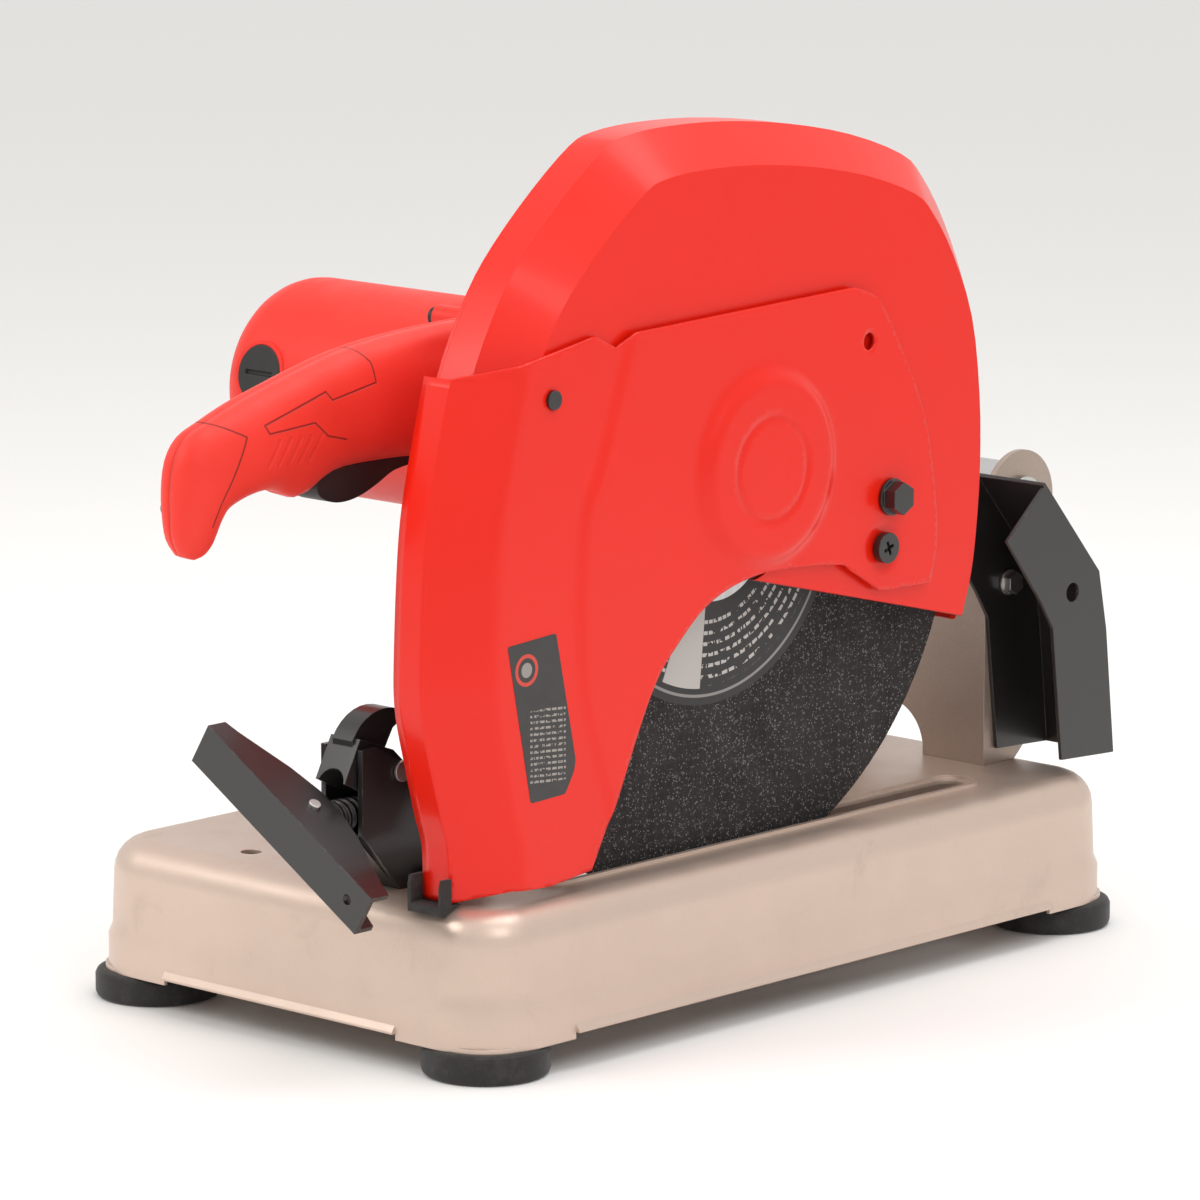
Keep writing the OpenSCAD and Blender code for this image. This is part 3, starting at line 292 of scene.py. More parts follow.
def grit_wheel(name):
    """Resin-bonded abrasive: dark matrix with bright grains over a woven glass reinforcement."""
    p = Paint(name, (0.018, 0.016, 0.016), 0.82, specular=0.35)
    fine = p.cells(1500.0)
    coarse = p.cells(620.0)
    fine_tone = p.node("ShaderNodeSeparateColor", inputs={"Color": fine.outputs["Color"]}).outputs[0]
    coarse_tone = p.node("ShaderNodeSeparateColor", inputs={"Color": coarse.outputs["Color"]}).outputs[1]
    spark = p.math("MULTIPLY", p.ramp(fine_tone, 0.90, 0.97), p.ramp(fine.outputs["Distance"], 0.55, 0.25))
    grain = p.math("MULTIPLY", p.ramp(coarse_tone, 0.80, 0.95), p.ramp(coarse.outputs["Distance"], 0.5, 0.2))
    spots = p.math("MAXIMUM", spark, p.math("MULTIPLY", grain, 0.45))
    mesh_y = p.node("ShaderNodeTexWave", {"bands_direction": "Y"}, {"Vector": p.where, "Scale": 48.0, "Distortion": 0.4})
    mesh_z = p.node("ShaderNodeTexWave", {"bands_direction": "Z"}, {"Vector": p.where, "Scale": 48.0, "Distortion": 0.4})
    weave = p.math("MAXIMUM", mesh_y.outputs["Fac"], mesh_z.outputs["Fac"])
    dirt = p.noise(40.0, 5.0)
    tone = p.mix(p.ramp(dirt, 0.4, 0.75, 0.0, 0.8), (0.016, 0.014, 0.014), (0.040, 0.034, 0.033))
    tone = p.mix(p.ramp(weave, 0.80, 1.0, 0.0, 0.22), tone, (0.05, 0.045, 0.045))
    p.feed("Base Color", p.mix(spots, tone, (0.36, 0.32, 0.31)))
    height = p.math("ADD", p.math("MULTIPLY", coarse.outputs["Distance"], 0.6), p.math("MULTIPLY", weave, 0.15))
    p.bump(p.math("ADD", height, p.math("MULTIPLY", fine.outputs["Distance"], 0.35)), 0.0005, 0.8)
    return p.mat


def notice_print(name):
    """A dark sticker with a pale symbol field and rows of short pale dashes in place of print."""
    dark = (0.028, 0.026, 0.026)
    p = Paint(name, dark, 0.38, specular=0.5)
    _, y, z = p.place()
    rows = p.math("FRACT", p.math("MULTIPLY", p.math("ADD", z, p.math("MULTIPLY", y, 0.08)), 360.0))
    columns = p.math("FRACT", p.math("MULTIPLY", y, 250.0))
    breaks = p.noise(700.0, 1.0)
    dash = p.math("MULTIPLY", p.math("LESS_THAN", rows, 0.42), p.math("LESS_THAN", columns, 0.80))
    dash = p.math("MULTIPLY", dash, p.math("GREATER_THAN", breaks, 0.44))
    band = p.math("MULTIPLY", p.math("LESS_THAN", z, 0.168), p.math("GREATER_THAN", z, 0.133))
    inset = p.math("COMPARE", y, -0.1745, 0.0118)
    dash = p.math("MULTIPLY", p.math("MULTIPLY", dash, band), inset)
    across = p.math("SUBTRACT", y, -0.1885)
    rise = p.math("SUBTRACT", z, 0.1875)
    radius = p.math("SQRT", p.math("ADD", p.math("MULTIPLY", across, across), p.math("MULTIPLY", rise, rise)))
    ring = p.math("COMPARE", radius, 0.0066, 0.0009)
    disc = p.math("LESS_THAN", radius, 0.0035)
    pale = p.math("MAXIMUM", dash, p.math("MULTIPLY", disc, 0.9))
    tone = p.mix(p.ramp(p.noise(90.0, 4.0), 0.3, 0.8, 0.0, 0.5), dark, (0.05, 0.046, 0.044))
    tone = p.mix(p.math("MULTIPLY", pale, 0.55), tone, (0.55, 0.50, 0.46))
    p.feed("Base Color", p.mix(ring, tone, (0.62, 0.05, 0.03)))
    p.feed("Roughness", p.ramp(p.noise(300.0, 3.0), 0.3, 0.8, 0.32, 0.48))
    p.bump(p.noise(500.0, 3.0), 0.00004, 0.5)
    return p.mat


def paper_label(name):
    """Dark paper disc with a border ring, short white dashes in rows and one pale sector."""
    dark = (0.030, 0.029, 0.030)
    pale = (0.60, 0.57, 0.54)
    p = Paint(name, dark, 0.55, specular=0.4)
    split = p.node("ShaderNodeSeparateXYZ", inputs={"Vector": p.where})
    dy = p.math("SUBTRACT", split.outputs["Y"], SPINDLE.y)
    dz = p.math("SUBTRACT", split.outputs["Z"], SPINDLE.z)
    radius = p.math("SQRT", p.math("ADD", p.math("MULTIPLY", dy, dy), p.math("MULTIPLY", dz, dz)))
    angle = p.math("ARCTAN2", dz, dy)
    rows = p.math("FRACT", p.math("MULTIPLY", radius, 190.0))
    columns = p.math("FRACT", p.math("MULTIPLY", angle, 15.0))
    breaks = p.noise(240.0, 1.0)
    dash = p.math("MULTIPLY", p.math("LESS_THAN", rows, 0.34), p.math("LESS_THAN", columns, 0.78))
    dash = p.math("MULTIPLY", dash, p.math("GREATER_THAN", breaks, 0.47))
    band = p.math("MULTIPLY", p.math("GREATER_THAN", radius, 0.046), p.math("LESS_THAN", radius, 0.079))
    dash = p.math("MULTIPLY", dash, band)
    ring = p.math("COMPARE", radius, 0.0835, 0.0007)
    sector = p.math("MULTIPLY", p.math("COMPARE", angle, -1.84, 0.17), p.math("LESS_THAN", radius, 0.080))
    marks = p.math("MAXIMUM", p.math("MAXIMUM", dash, p.math("MULTIPLY", ring, 0.5)), sector)
    tone = p.mix(p.ramp(p.noise(60.0, 4.0), 0.3, 0.8, 0.0, 0.5), dark, (0.055, 0.050, 0.048))
    p.feed("Base Color", p.mix(p.math("MULTIPLY", marks, 0.85), tone, pale))
    p.bump(p.noise(900.0, 4.0), 0.00008, 0.6)
    return p.mat


# Lines on the grip, in y and z from the base centre
CAP_SEAM = [(-303.0, 312.0), (-299.0, 307.0), (-275.0, 295.0), (-290.0, 266.0), (-294.0, 256.0)]
OVERMOULD_EDGE = [(-203.0, 333.0), (-194.0, 320.0), (-194.0, 311.0), (-222.0, 306.0), (-225.0, 310.0),
                  (-264.0, 299.0), (-262.0, 295.0), (-234.0, 297.0), (-226.0, 290.0), (-214.0, 287.0)]
RIB_START = (-263.0, 280.0)
RIB_STEP = 6.5
RIB_COUNT = 5
RIB_LEAN = 7.0
RIB_RISE = 11.0

red_paint = enamel("guard_red_enamel", (0.80, 0.012, 0.002), rough=0.30, wear=0.15, coat=0.24, specular=0.26)
red_nylon = moulded("housing_red_nylon", (0.76, 0.022, 0.010), rough=0.42)
grip_red = grip("grip_red", (0.80, 0.032, 0.018))
black_nylon = moulded("black_nylon", (0.020, 0.019, 0.019), rough=0.46, scuff=0.15)
black_paint = enamel("black_enamel", (0.014, 0.0125, 0.0125), rough=0.34, wear=0.5, coat=0.35)
silver_paint = silver_enamel("base_silver_enamel")
# The pivot bracket gets the base silver darkened to 0.62 as painted shade: it is the same silver as the base, standing
# in shadow.
bracket_painted_shade = silver_enamel("bracket_silver_painted_shade", 0.62)
black_rubber = rubber("black_rubber")
zinc = steel("zinc_plated_steel", (0.62, 0.62, 0.60), 0.30)
ground = steel("ground_steel", (0.60, 0.60, 0.60), 0.22, grain=(1.0, 0.15, 0.15))
blackened = steel("blackened_steel", (0.060, 0.057, 0.055), 0.40, stain=0.1)
spring = steel("oiled_spring_steel", (0.16, 0.155, 0.15), 0.35)
cut_steel = steel("cut_gear_steel", (0.42, 0.41, 0.40), 0.33)
copper = steel("copper_bars", (0.72, 0.36, 0.20), 0.30)
laminated = steel("laminated_steel", (0.30, 0.28, 0.26), 0.45, grain=(6.0, 0.1, 0.1))
alloy = cast_alloy("die_cast_alloy")
graphite = moulded("graphite", (0.035, 0.035, 0.036), rough=0.50)
grit = grit_wheel("abrasive_grit")
label = paper_label("wheel_label_paper")
notice = notice_print("cover_notice_print")
COVER_NOTICE = [(-201.0, 200.0), (-169.0, 202.0), (-156.0, 141.0), (-157.0, 136.0), (-163.0, 126.0), (-186.0, 125.0)]

SLOT_PAINT = {
    "base_steel": silver_paint, "rubber_black": black_rubber, "zinc_steel": zinc, "ground_steel": ground,
    "spring_steel": spring, "black_steel": black_paint, "screw_steel": blackened, "cast_alloy": alloy,
    "guard_red": red_paint, "plastic_red": red_nylon, "plastic_black": black_nylon, "carbon": graphite,
    "lamination": laminated, "copper": copper, "gear_steel": cut_steel, "abrasive": grit,
    "paper_label": label,
}
NODE_PAINT = {"handle_left": grip_red, "handle_right": grip_red, "pivot_bracket": bracket_painted_shade}

for entry in frame["record"]["subparts"]:
    thing = nodes[entry["node"]]
    thing.data.materials.clear()
    paint = NODE_PAINT.get(entry["node"], SLOT_PAINT[entry["material_slot"]])
    thing.data.materials.append(paint)


# ---- rounded edges on the CAD nodes ----

EDGE_RADIUS = {
    "base_pan": 1.0, "feet": 1.2, "pivot_bracket": 0.8, "spark_deflector": 0.6, "vise_bracket": 0.9,
    "fence": 0.9, "vise_pawl": 1.0, "jaw_yoke": 0.8, "vise_jaw": 1.0, "crank_bar": 0.8, "head_arm": 2.0,
    "gearcase_cover": 1.5, "guard_back_plate": 0.5, "upper_guard": 2.2, "side_cover": 0.8,
    "cover_bumper": 0.9, "motor_housing": 1.2, "brush_caps": 0.6, "cord_inlet": 0.8,
    "handle_left": 1.0, "handle_right": 1.0, "trigger": 1.6, "switch_box": 0.8,
}
FASTENER_RADIUS = 0.4
KEPT_SHARP = ("lift_spring", "wheel_label", "drive_gear", "armature_shaft", "abrasive_wheel")


def round_edges(thing, radius, limit=26.0):
    for face in thing.data.polygons:
        face.use_smooth = True
    thing.modifiers.new("weld", "WELD").merge_threshold = 0.00001
    merge = thing.modifiers.new("merge", "DECIMATE")
    merge.decimate_type = "DISSOLVE"
    merge.angle_limit = math.radians(0.4)
    bevel = thing.modifiers.new("rounded", "BEVEL")
    bevel.width = radius * MM
    bevel.segments = 3
    bevel.limit_method = "ANGLE"
    bevel.angle_limit = math.radians(limit)
    thing.modifiers.new("flat faces", "WEIGHTED_NORMAL").keep_sharp = False


for name, thing in nodes.items():
    if name not in KEPT_SHARP:
        round_edges(thing, EDGE_RADIUS.get(name, FASTENER_RADIUS))


# ---- pieces ----

def piece(name, verts, faces, paint, body, smooth=True):
    data = bpy.data.meshes.new(name)
    data.from_pydata(verts, [], faces)
    data.validate()
    data.update()
    for face in data.polygons:
        face.use_smooth = smooth
    data.materials.append(paint)
    thing = link(bpy.data.objects.new(name, data))
    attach(thing, body)
    return thing


def link(thing):
    bpy.context.collection.objects.link(thing)
    return thing


def tube(centres, radius, sides):
    """Vertices and faces of a closed round tube along a run of points."""
    verts = []
    count = len(centres)
    for i, spot in enumerate(centres):
        ahead = (centres[min(i + 1, count - 1)] - centres[max(i - 1, 0)]).normalized()
        side = ahead.cross(Vector((1.0, 0.0, 0.0)))
        if side.length < 0.1:
            side = ahead.cross(Vector((0.0, 1.0, 0.0)))
        side.normalize()
        up = side.cross(ahead)
        for k in range(sides):
            turn = math.tau * k / sides
            verts.append(spot + radius * (math.cos(turn) * side + math.sin(turn) * up))
    faces = [(i * sides + k, i * sides + (k + 1) % sides, (i + 1) * sides + (k + 1) % sides, (i + 1) * sides + k)
             for i in range(count - 1) for k in range(sides)]
    faces.append(tuple(reversed(range(sides))))
    faces.append(tuple(range((count - 1) * sides, count * sides)))
    return verts, faces


def coil_spring():
    """The torsion spring around the hinge, wound smoothly."""
    low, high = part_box("lift_spring")
    middle = (low + high) / 2
    wire = 1.95 * MM
    radius = (high.z - low.z) / 2 - 2.0 * MM
    turns = 7
    steps = 40
    x0 = low.x + 2.0 * MM
    pitch = (high.x - low.x - 4.0 * MM) / turns
    axis = at(0.0, 215.0, 210.0)
    spots = []
    for i in range(turns * steps + 1):
        turn = math.tau * i / steps
        spots.append(Vector((x0 + pitch * i / steps, axis.y + radius * math.cos(turn), axis.z + radius * math.sin(turn))))
    verts, faces = tube(spots, wire, 14)
    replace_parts(piece("lift_spring_coil", verts, faces, spring, "head"), "lift_spring")


def threaded_screw():
    """The vise screw with a rolled trapezoidal thread, plain at its nose."""
    low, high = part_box("vise_screw")
    cx = (low.x + high.x) / 2
    cz = (low.z + high.z) / 2
    major, minor, nose = 8.0 * MM, 6.5 * MM, 5.0 * MM
    pitch = 4.2 * MM
    sides = 28
    rows_per_turn = 10
    start = low.y
    thread_end = high.y - 11.0 * MM
    rows = int((thread_end - start) / pitch * rows_per_turn)
    verts = []
    faces = []

    def ring(y, radius_at):
        first = len(verts)
        for k in range(sides):
            turn = math.tau * k / sides
            r = radius_at(turn)
            verts.append(Vector((cx + r * math.cos(turn), y, cz + r * math.sin(turn))))
        if first:
            old = first - sides
            for k in range(sides):
                j = (k + 1) % sides
                faces.append((old + k, first + k, first + j, old + j))

    def thread(y):
        def radius_at(turn):
            phase = ((y - start) / pitch + turn / math.tau) % 1.0
            rise = min(1.0, max(0.0, (abs(phase - 0.5) - 0.12) / 0.22))
            blend = min(1.0, (y - start) / (3.0 * MM)) if y - start < 3.0 * MM else 1.0
            return major - (major - minor) * rise * blend
        return radius_at

    for i in range(rows + 1):
        y = start + (thread_end - start) * i / rows
        ring(y, thread(y))
    ring(thread_end + 0.4 * MM, lambda turn: nose)
    ring(high.y - 0.6 * MM, lambda turn: nose)
    ring(high.y, lambda turn: nose - 0.6 * MM)
    faces.append(tuple(range(sides)))
    faces.append(tuple(reversed(range(len(verts) - sides, len(verts)))))
    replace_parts(piece("vise_screw_thread", verts, faces, blackened, "screw"), "vise_screw")


def card(name, outline, x, thick, paint, body, corner=1.5):
    """A thin sticker on a face at x, outlined in (y, z) millimetres, with rounded corners."""
    spots = []
    count = len(outline)
    for i, (y, z) in enumerate(outline):
        spot = Vector((y, z))
        before = (Vector(outline[i - 1]) - spot).normalized() * corner
        after = (Vector(outline[(i + 1) % count]) - spot).normalized() * corner
        for t in (0.0, 0.25, 0.5, 0.75, 1.0):
            spots.append((1 - t) * (1 - t) * (spot + before) + 2 * t * (1 - t) * spot + t * t * (spot + after))
    total = len(spots)
    verts = [at(x, s.x, s.y) for s in spots] + [at(x + thick, s.x, s.y) for s in spots]
    faces = [tuple(range(total)), tuple(range(total, 2 * total))]
    faces += [(k, (k + 1) % total, total + (k + 1) % total, total + k) for k in range(total)]
    return piece(name, verts, faces, paint, body, smooth=False)


def rounded(points, steps):
    """A Catmull-Rom curve through points with the given steps between each pair."""
    spots = [Vector(p) for p in points]
    last = len(spots) - 1
    out = []
    for i in range(last):
        a, b, c, d = spots[max(i - 1, 0)], spots[i], spots[i + 1], spots[min(i + 2, last)]
        for k in range(steps):
            t = k / steps
            out.append(b + t / 2 * (c - a + t * (2 * a - 5 * b + 4 * c - d + t * (3 * b - a - 3 * c + d))))
    return out + [spots[last]]


def step(value, low, high):
    """Smooth rise from 0 at low to 1 at high."""
    t = min(1.0, max(0.0, (value - low) / (high - low)))
    return t * t * (3.0 - 2.0 * t)


def across(curve, z):
    """The y at height z on a curve of (y, z) points that runs upwards."""
    if z <= curve[0].y:
        return curve[0].x
    for a, b in zip(curve, curve[1:]):
        if z <= b.y:
            return a.x + (b.x - a.x) * (z - a.y) / max(b.y - a.y, 1e-6)
    return curve[-1].x


COVER_FRONT = [(-217.5, 80.0), (-218.0, 104.0), (-223.0, 121.0), (-229.0, 144.0), (-235.0, 170.0),
               (-235.5, 196.0), (-232.0, 250.0), (-225.0, 285.0), (-215.0, 322.0)]
COVER_TOP = [(-202.0, 325.0), (-189.0, 328.0), (-142.0, 336.0), (-128.0, 329.0), (-116.0, 335.0)]
COVER_REAR = [(37.0, 340.0), (52.0, 334.0), (62.0, 322.0), (72.0, 305.0), (84.0, 283.0), (92.0, 260.0),
              (97.0, 230.0), (98.0, 210.0), (94.0, 190.0)]
COVER_LOWER = [(56.0, 191.0), (36.0, 203.0), (24.0, 208.0), (-27.0, 211.0), (-63.0, 203.0), (-88.0, 185.0),
               (-106.0, 164.0), (-131.0, 113.0)]
COVER_TIP = [(-145.0, 87.0), (-173.0, 84.0), (-195.5, 85.0)]
COVER_JOGGLE = [(-128.0, 90.0), (-134.0, 117.0), (-140.0, 134.0), (-150.0, 168.0), (-153.0, 207.0),
                (-150.0, 252.0), (-141.0, 272.0), (-132.0, 296.0), (-120.0, 331.0), (-117.0, 345.0)]
BOSS = Vector((-26.0, 261.0))
COVER_HOLES = [((63.0, 236.0), 4.1), ((47.0, 313.0), 4.3), ((58.0, 212.0), 3.2), ((-171.0, 310.0), 3.1)]
SCREW_SEAT = Vector((58.0, 212.0))
STRIP_X0, STRIP_X1, PLATE_X, PROUD = 83.0, 100.0, 121.5, 1.2
BEVEL_DEPTH = 25.0


def cover_height(spot, front, joggle):
    """How far out the cover's outer face stands at a point of its side view."""
    behind = spot.x - across(front, spot.y)
    slope = STRIP_X1 + (PLATE_X - STRIP_X1) * behind / BEVEL_DEPTH
    soft = 1.2
    gap = (slope - PLATE_X) / soft
    x = PLATE_X + soft * (gap if gap < -12 else -math.log1p(math.exp(-gap)))
    x += PROUD * step(spot.x - across(joggle, spot.y), -3.5, 3.5)
    radius = (spot - BOSS).length
    x += 4.3 * (1.0 - step(radius, 40.5, 49.5))
    x -= 0.7 * step(radius, 22.8, 23.8) * (1.0 - step(radius, 25.2, 26.2))
    x -= 0.9 * (1.0 - step((spot - SCREW_SEAT).length, 8.5, 12.5))
    return x


def swing_cover():
    """The pressed side cover: strip, bevel, joggle, boss and screw seat in one sheet."""
    front = rounded(COVER_FRONT, 6)
    joggle = rounded(COVER_JOGGLE, 4)
    edge = front + [Vector(p) for p in COVER_TOP] + rounded(COVER_REAR, 5) + rounded(COVER_LOWER, 5)
    edge += [Vector(p) for p in COVER_TIP]
    dense = []
    for a, b in zip(edge, edge[1:] + edge[:1]):
        parts = max(1, int((b - a).length / 3.0))
        dense += [a + (b - a) * k / parts for k in range(parts)]
    loops = [dense]
    for (cy, cz), radius in COVER_HOLES:
        loops.append([Vector((cy + radius * math.cos(math.tau * k / 20), cz + radius * math.sin(math.tau * k / 20)))
                      for k in range(20)])
    points = []
    fixed = []
    for loop in loops:
        first = len(points)
        points += loop
        fixed += [(first + k, first + (k + 1) % len(loop)) for k in range(len(loop))]
    rim = list(points)
    lows = [min(p[k] for p in dense) for k in (0, 1)]
    highs = [max(p[k] for p in dense) for k in (0, 1)]

    def inside(spot, loop):
        hit = False
        for a, b in zip(loop, loop[1:] + loop[:1]):
            if (a.y > spot.y) != (b.y > spot.y) and spot.x < a.x + (b.x - a.x) * (spot.y - a.y) / (b.y - a.y):
                hit = not hit
        return hit

    def on_sheet(spot):
        return inside(spot, dense) and not any(inside(spot, loop) for loop in loops[1:])

    extra = [spot + Vector((0.9, 0.0)) for spot in dense if spot.x < across(front, spot.y) + 0.01 and 84 < spot.y < 320]
    for radius in (22.8, 23.8, 25.2, 26.2, 40.5, 42.5, 45.0, 47.5, 49.5):
        count = int(radius * 2.4)
        extra += [BOSS + radius * Vector((math.cos(math.tau * k / count), math.sin(math.tau * k / count)))
                  for k in range(count)]
    size = 2.6
    row = 0
    z = lows[1]
    while z < highs[1]:
        y = lows[0] + (size / 2 if row % 2 else 0.0)
        while y < highs[0]:
            spot = Vector((y, z))
            near_ring = 21.5 < (spot - BOSS).length < 27.5 or 39.0 < (spot - BOSS).length < 51.0
            if not near_ring:
                extra.append(spot)
            y += size
        z += size * 0.87
        row += 1
    tight = 1.0
    cells = {}
    for spot in rim:
        cells.setdefault((int(spot.x // tight), int(spot.y // tight)), []).append(spot)
    for spot in extra:
        cx, cy = int(spot.x // tight), int(spot.y // tight)
        close = any((spot - other).length < 0.75 for i in (-1, 0, 1) for j in (-1, 0, 1)
                    for other in cells.get((cx + i, cy + j), ()))
        if not close and on_sheet(spot):
            points.append(spot)
            cells.setdefault((cx, cy), []).append(spot)
    flat, _, faces, _, _, _ = delaunay_2d_cdt(points, fixed, [], 0, 1e-4)
    kept = [tuple(f) for f in faces if on_sheet(sum((flat[i] for i in f), Vector((0.0, 0.0))) / len(f))]
    verts = [at(cover_height(spot, front, joggle), spot.x, spot.y) for spot in flat]
    order = {(round(spot.x, 3), round(spot.y, 3)): i for i, spot in enumerate(flat)}
    chain = [spot for spot in dense if abs(spot.x - across(front, spot.y)) < 0.02]
    above = [order[(round(spot.x, 3), round(spot.y, 3))] for spot in chain]
    for i in above:
        verts[i].x = at(STRIP_X1, 0.0, 0.0).x
    for x in (STRIP_X1 - 0.9, STRIP_X1 - 6.0, STRIP_X1 - 12.0, STRIP_X0):
        below = list(range(len(verts), len(verts) + len(chain)))
        verts += [at(x, spot.x, spot.y) for spot in chain]
        kept += [(a, b, d, c) for a, b, c, d in zip(above, above[1:], below, below[1:])]
        above = below
    sheet = piece("side_cover_sheet", verts, kept, red_paint, "side_guard")
    grown = bmesh.new()
    grown.from_mesh(sheet.data)
    loose = [v for v in grown.verts if not v.link_faces]
    bmesh.ops.delete(grown, geom=loose, context="VERTS")
    bmesh.ops.recalc_face_normals(grown, faces=grown.faces)
    outward = sum((f.normal.x * f.calc_area() for f in grown.faces), 0.0)
    if outward < 0:
        bmesh.ops.reverse_faces(grown, faces=grown.faces)
    grown.to_mesh(sheet.data)
    grown.free()
    wall = sheet.modifiers.new("thickness", "SOLIDIFY")
    wall.thickness = 2.3 * MM
    wall.offset = -1.0
    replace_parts(sheet, "side_cover")


GRIP_X = 15.0
# Grip sections: y and z of the upper and the lower end, and the half width
GRIP = [(-96.0, 332.0, -96.0, 268.0, 19.5), (-112.0, 331.5, -112.0, 268.5, 19.5), (-140.0, 331.0, -140.0, 269.0, 19.3),
        (-170.0, 329.3, -170.0, 271.0, 19.0), (-200.0, 325.8, -200.0, 271.5, 18.6), (-225.0, 320.5, -222.0, 270.5, 18.3),
        (-248.0, 314.5, -242.0, 269.5, 18.0), (-268.0, 308.8, -256.0, 267.5, 17.6), (-286.0, 302.3, -269.0, 265.0, 16.6),
        (-299.0, 297.0, -279.5, 261.0, 15.4), (-306.5, 288.0, -284.0, 255.5, 14.2), (-309.6, 275.0, -286.5, 250.0, 12.8),
        (-309.9, 262.0, -288.8, 245.5, 11.2), (-309.0, 251.0, -292.5, 241.6, 8.6), (-305.0, 243.0, -297.0, 239.9, 4.4)]


def grip_ring(y0, z0, y1, z1, half, side, count):
    """Half of a rounded section from its upper end to its lower end, on one side of the parting line."""
    top = Vector((y0, z0))
    foot = Vector((y1, z1))
    ring = []
    for k in range(count + 1):
        turn = math.pi * k / count
        along = (1.0 - math.copysign(abs(math.cos(turn)) ** 0.86, math.cos(turn))) / 2.0
        out = math.sin(turn) ** 0.74
        swell = 0.90 + 0.10 * along
        spot = top + (foot - top) * along
        ring.append((GRIP_X + side * (0.12 + (half - 0.12) * out * swell), spot.x, spot.y))
    return ring


def grip_half(side, node):
    """One half of the pistol grip, lofted through its sections, open towards the motor."""
    cuts = []
    for i in range(len(GRIP) - 1):
        a, b, c, d = GRIP[max(i - 1, 0)], GRIP[i], GRIP[i + 1], GRIP[min(i + 2, len(GRIP) - 1)]
        for k in range(3):
            t = k / 3.0
            cuts.append([q + t / 2 * (r - p + t * (2 * p - 5 * q + 4 * r - e + t * (3 * q - p - 3 * r + e)))
                         for p, q, r, e in zip(a, b, c, d)])
    cuts.append(list(GRIP[-1]))
    count = 22
    verts = []
    faces = []
    for cut in cuts:
        first = len(verts)
        for x, y, z in grip_ring(*cut, side, count):
            spread = x - GRIP_X
            lobe = math.exp(-((y + 234.0) / 13.0) ** 2) * step(z, 284.0, 268.0 - 4.0)
            z -= 11.5 * lobe
            scoop = math.exp(-((y + 143.0) / 17.0) ** 2 - ((z - 321.0) / 6.0) ** 2)
            x -= side * 2.2 * scoop if abs(spread) > 3.0 else 0.0
            verts.append(at(x, y, z))
        if first:
            old = first - count - 1
            faces += [(old + k, old + k + 1, first + k + 1, first + k) for k in range(count)]
    faces.append(tuple(range(len(verts) - count - 1, len(verts))))
    half = piece(node + "_shell", verts, faces, grip_red, "head")
    shape = bmesh.new()
    shape.from_mesh(half.data)
    bmesh.ops.recalc_face_normals(shape, faces=shape.faces)
    if sum(f.normal.x * f.calc_area() for f in shape.faces) * side < 0:
        bmesh.ops.reverse_faces(shape, faces=shape.faces)
    shape.to_mesh(half.data)
    shape.free()
    wall = half.modifiers.new("wall", "SOLIDIFY")
    wall.thickness = 2.6 * MM
    wall.offset = -1.0
    clear = piece(node + "_cutter", *motor_plug(), grip_red, "head")
    cut = half.modifiers.new("motor room", "BOOLEAN")
    cut.object = clear
    cut.solver = "EXACT"
    bpy.context.view_layer.objects.active = half
    bpy.context.view_layer.update()
    whole = bpy.data.meshes.new_from_object(half.evaluated_get(bpy.context.evaluated_depsgraph_get()))
    half.modifiers.clear()
    half.data = whole
    for face in whole.polygons:
        face.use_smooth = True
    bpy.data.objects.remove(clear)
    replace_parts(half, node)


def motor_plug():
    """A closed drum a little larger than the motor, used to cut the grip's root to fit."""
    sides = 64
    radius = 52.6 * MM
    verts = []
    for x in (-60.0, 60.0):
        for k in range(sides):
            turn = math.tau * k / sides
            verts.append(at(x, 0.0, 0.0) * 1.0)
            verts[-1].y = MOTOR.y + radius * math.cos(turn)
            verts[-1].z = MOTOR.z + radius * math.sin(turn)
    faces = [(k, (k + 1) % sides, sides + (k + 1) % sides, sides + k) for k in range(sides)]
    faces += [tuple(reversed(range(sides))), tuple(range(sides, 2 * sides))]
    return verts, faces


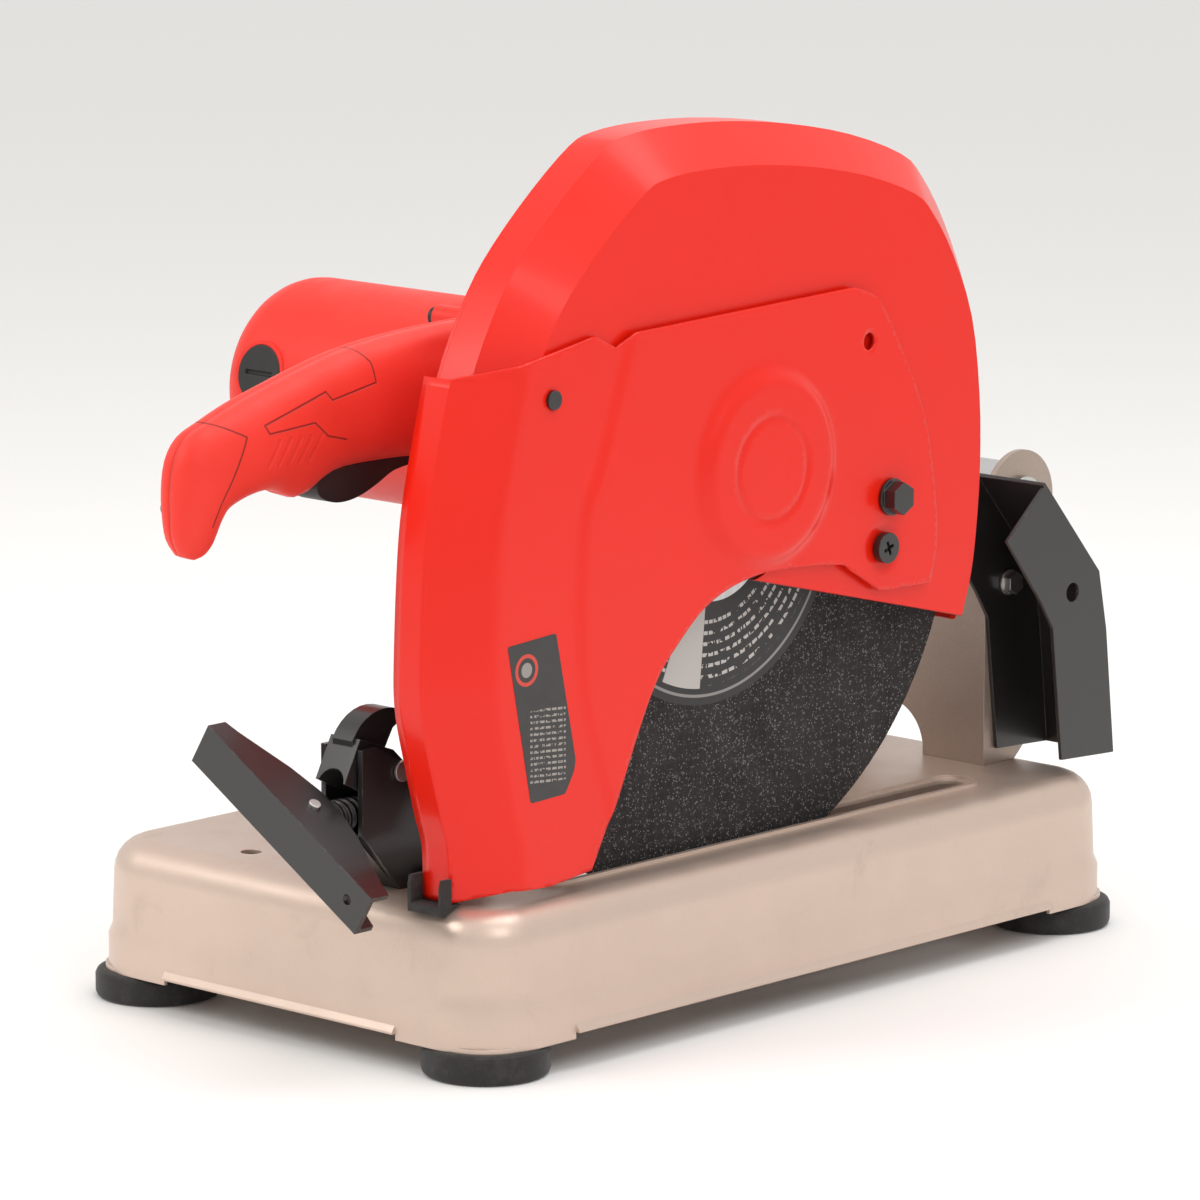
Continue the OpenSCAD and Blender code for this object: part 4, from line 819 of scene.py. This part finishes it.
swing_cover()
grip_half(-1, "handle_left")
grip_half(1, "handle_right")
coil_spring()
threaded_screw()
card("cover_notice", COVER_NOTICE, 121.52, 0.12, notice, "side_guard")


# ---- floor, lights, camera ----

def aim(thing, target):
    thing.rotation_euler = (target - thing.location).to_track_quat("-Z", "Y").to_euler()


def floor():
    data = bpy.data.meshes.new("floor")
    size = 12.0
    data.from_pydata([(-size, -size, 0), (size, -size, 0), (size, size, 0), (-size, size, 0)], [], [(0, 1, 2, 3)])
    thing = link(bpy.data.objects.new("floor", data))
    p = Paint("floor_pale", (0.94, 0.93, 0.92), 0.6, specular=0.2)
    p.feed("Roughness", p.ramp(p.noise(6.0, 3.0), 0.3, 0.7, 0.55, 0.7))
    data.materials.append(p.mat)


def softbox(name, place, target, size, power, tint=(1.0, 1.0, 1.0), stretch=1.0):
    data = bpy.data.lights.new(name, "AREA")
    data.shape = "RECTANGLE"
    data.size = size
    data.size_y = size * stretch
    data.energy = power
    data.color = tint
    thing = link(bpy.data.objects.new(name, data))
    thing.location = place
    aim(thing, target)


def camera():
    data = bpy.data.cameras.new("camera")
    data.lens = 210.0
    data.sensor_width = 36.0
    data.clip_end = 40.0
    thing = link(bpy.data.objects.new("camera", data))
    thing.location = at(2280.0, -2448.0, 811.0)
    aim(thing, at(-4.8, -4.5, 178.4))
    bpy.context.scene.camera = thing


def world():
    sky = bpy.data.worlds.new("studio")
    bpy.context.scene.world = sky
    sky.use_nodes = True
    background = sky.node_tree.nodes["Background"]
    background.inputs["Color"].default_value = (1.0, 0.99, 0.97, 1.0)
    background.inputs["Strength"].default_value = 0.80
    bpy.context.scene.view_settings.view_transform = "Standard"


floor()
middle = at(0.0, 0.0, 200.0)
softbox("key", at(-900.0, -1500.0, 1500.0), middle, 1.0, 13.0, (1.0, 0.98, 0.95))
softbox("fill", at(1500.0, -520.0, 1450.0), middle, 0.8, 6.0)
softbox("top", at(200.0, 300.0, 1700.0), middle, 1.2, 12.0)
world()
camera()
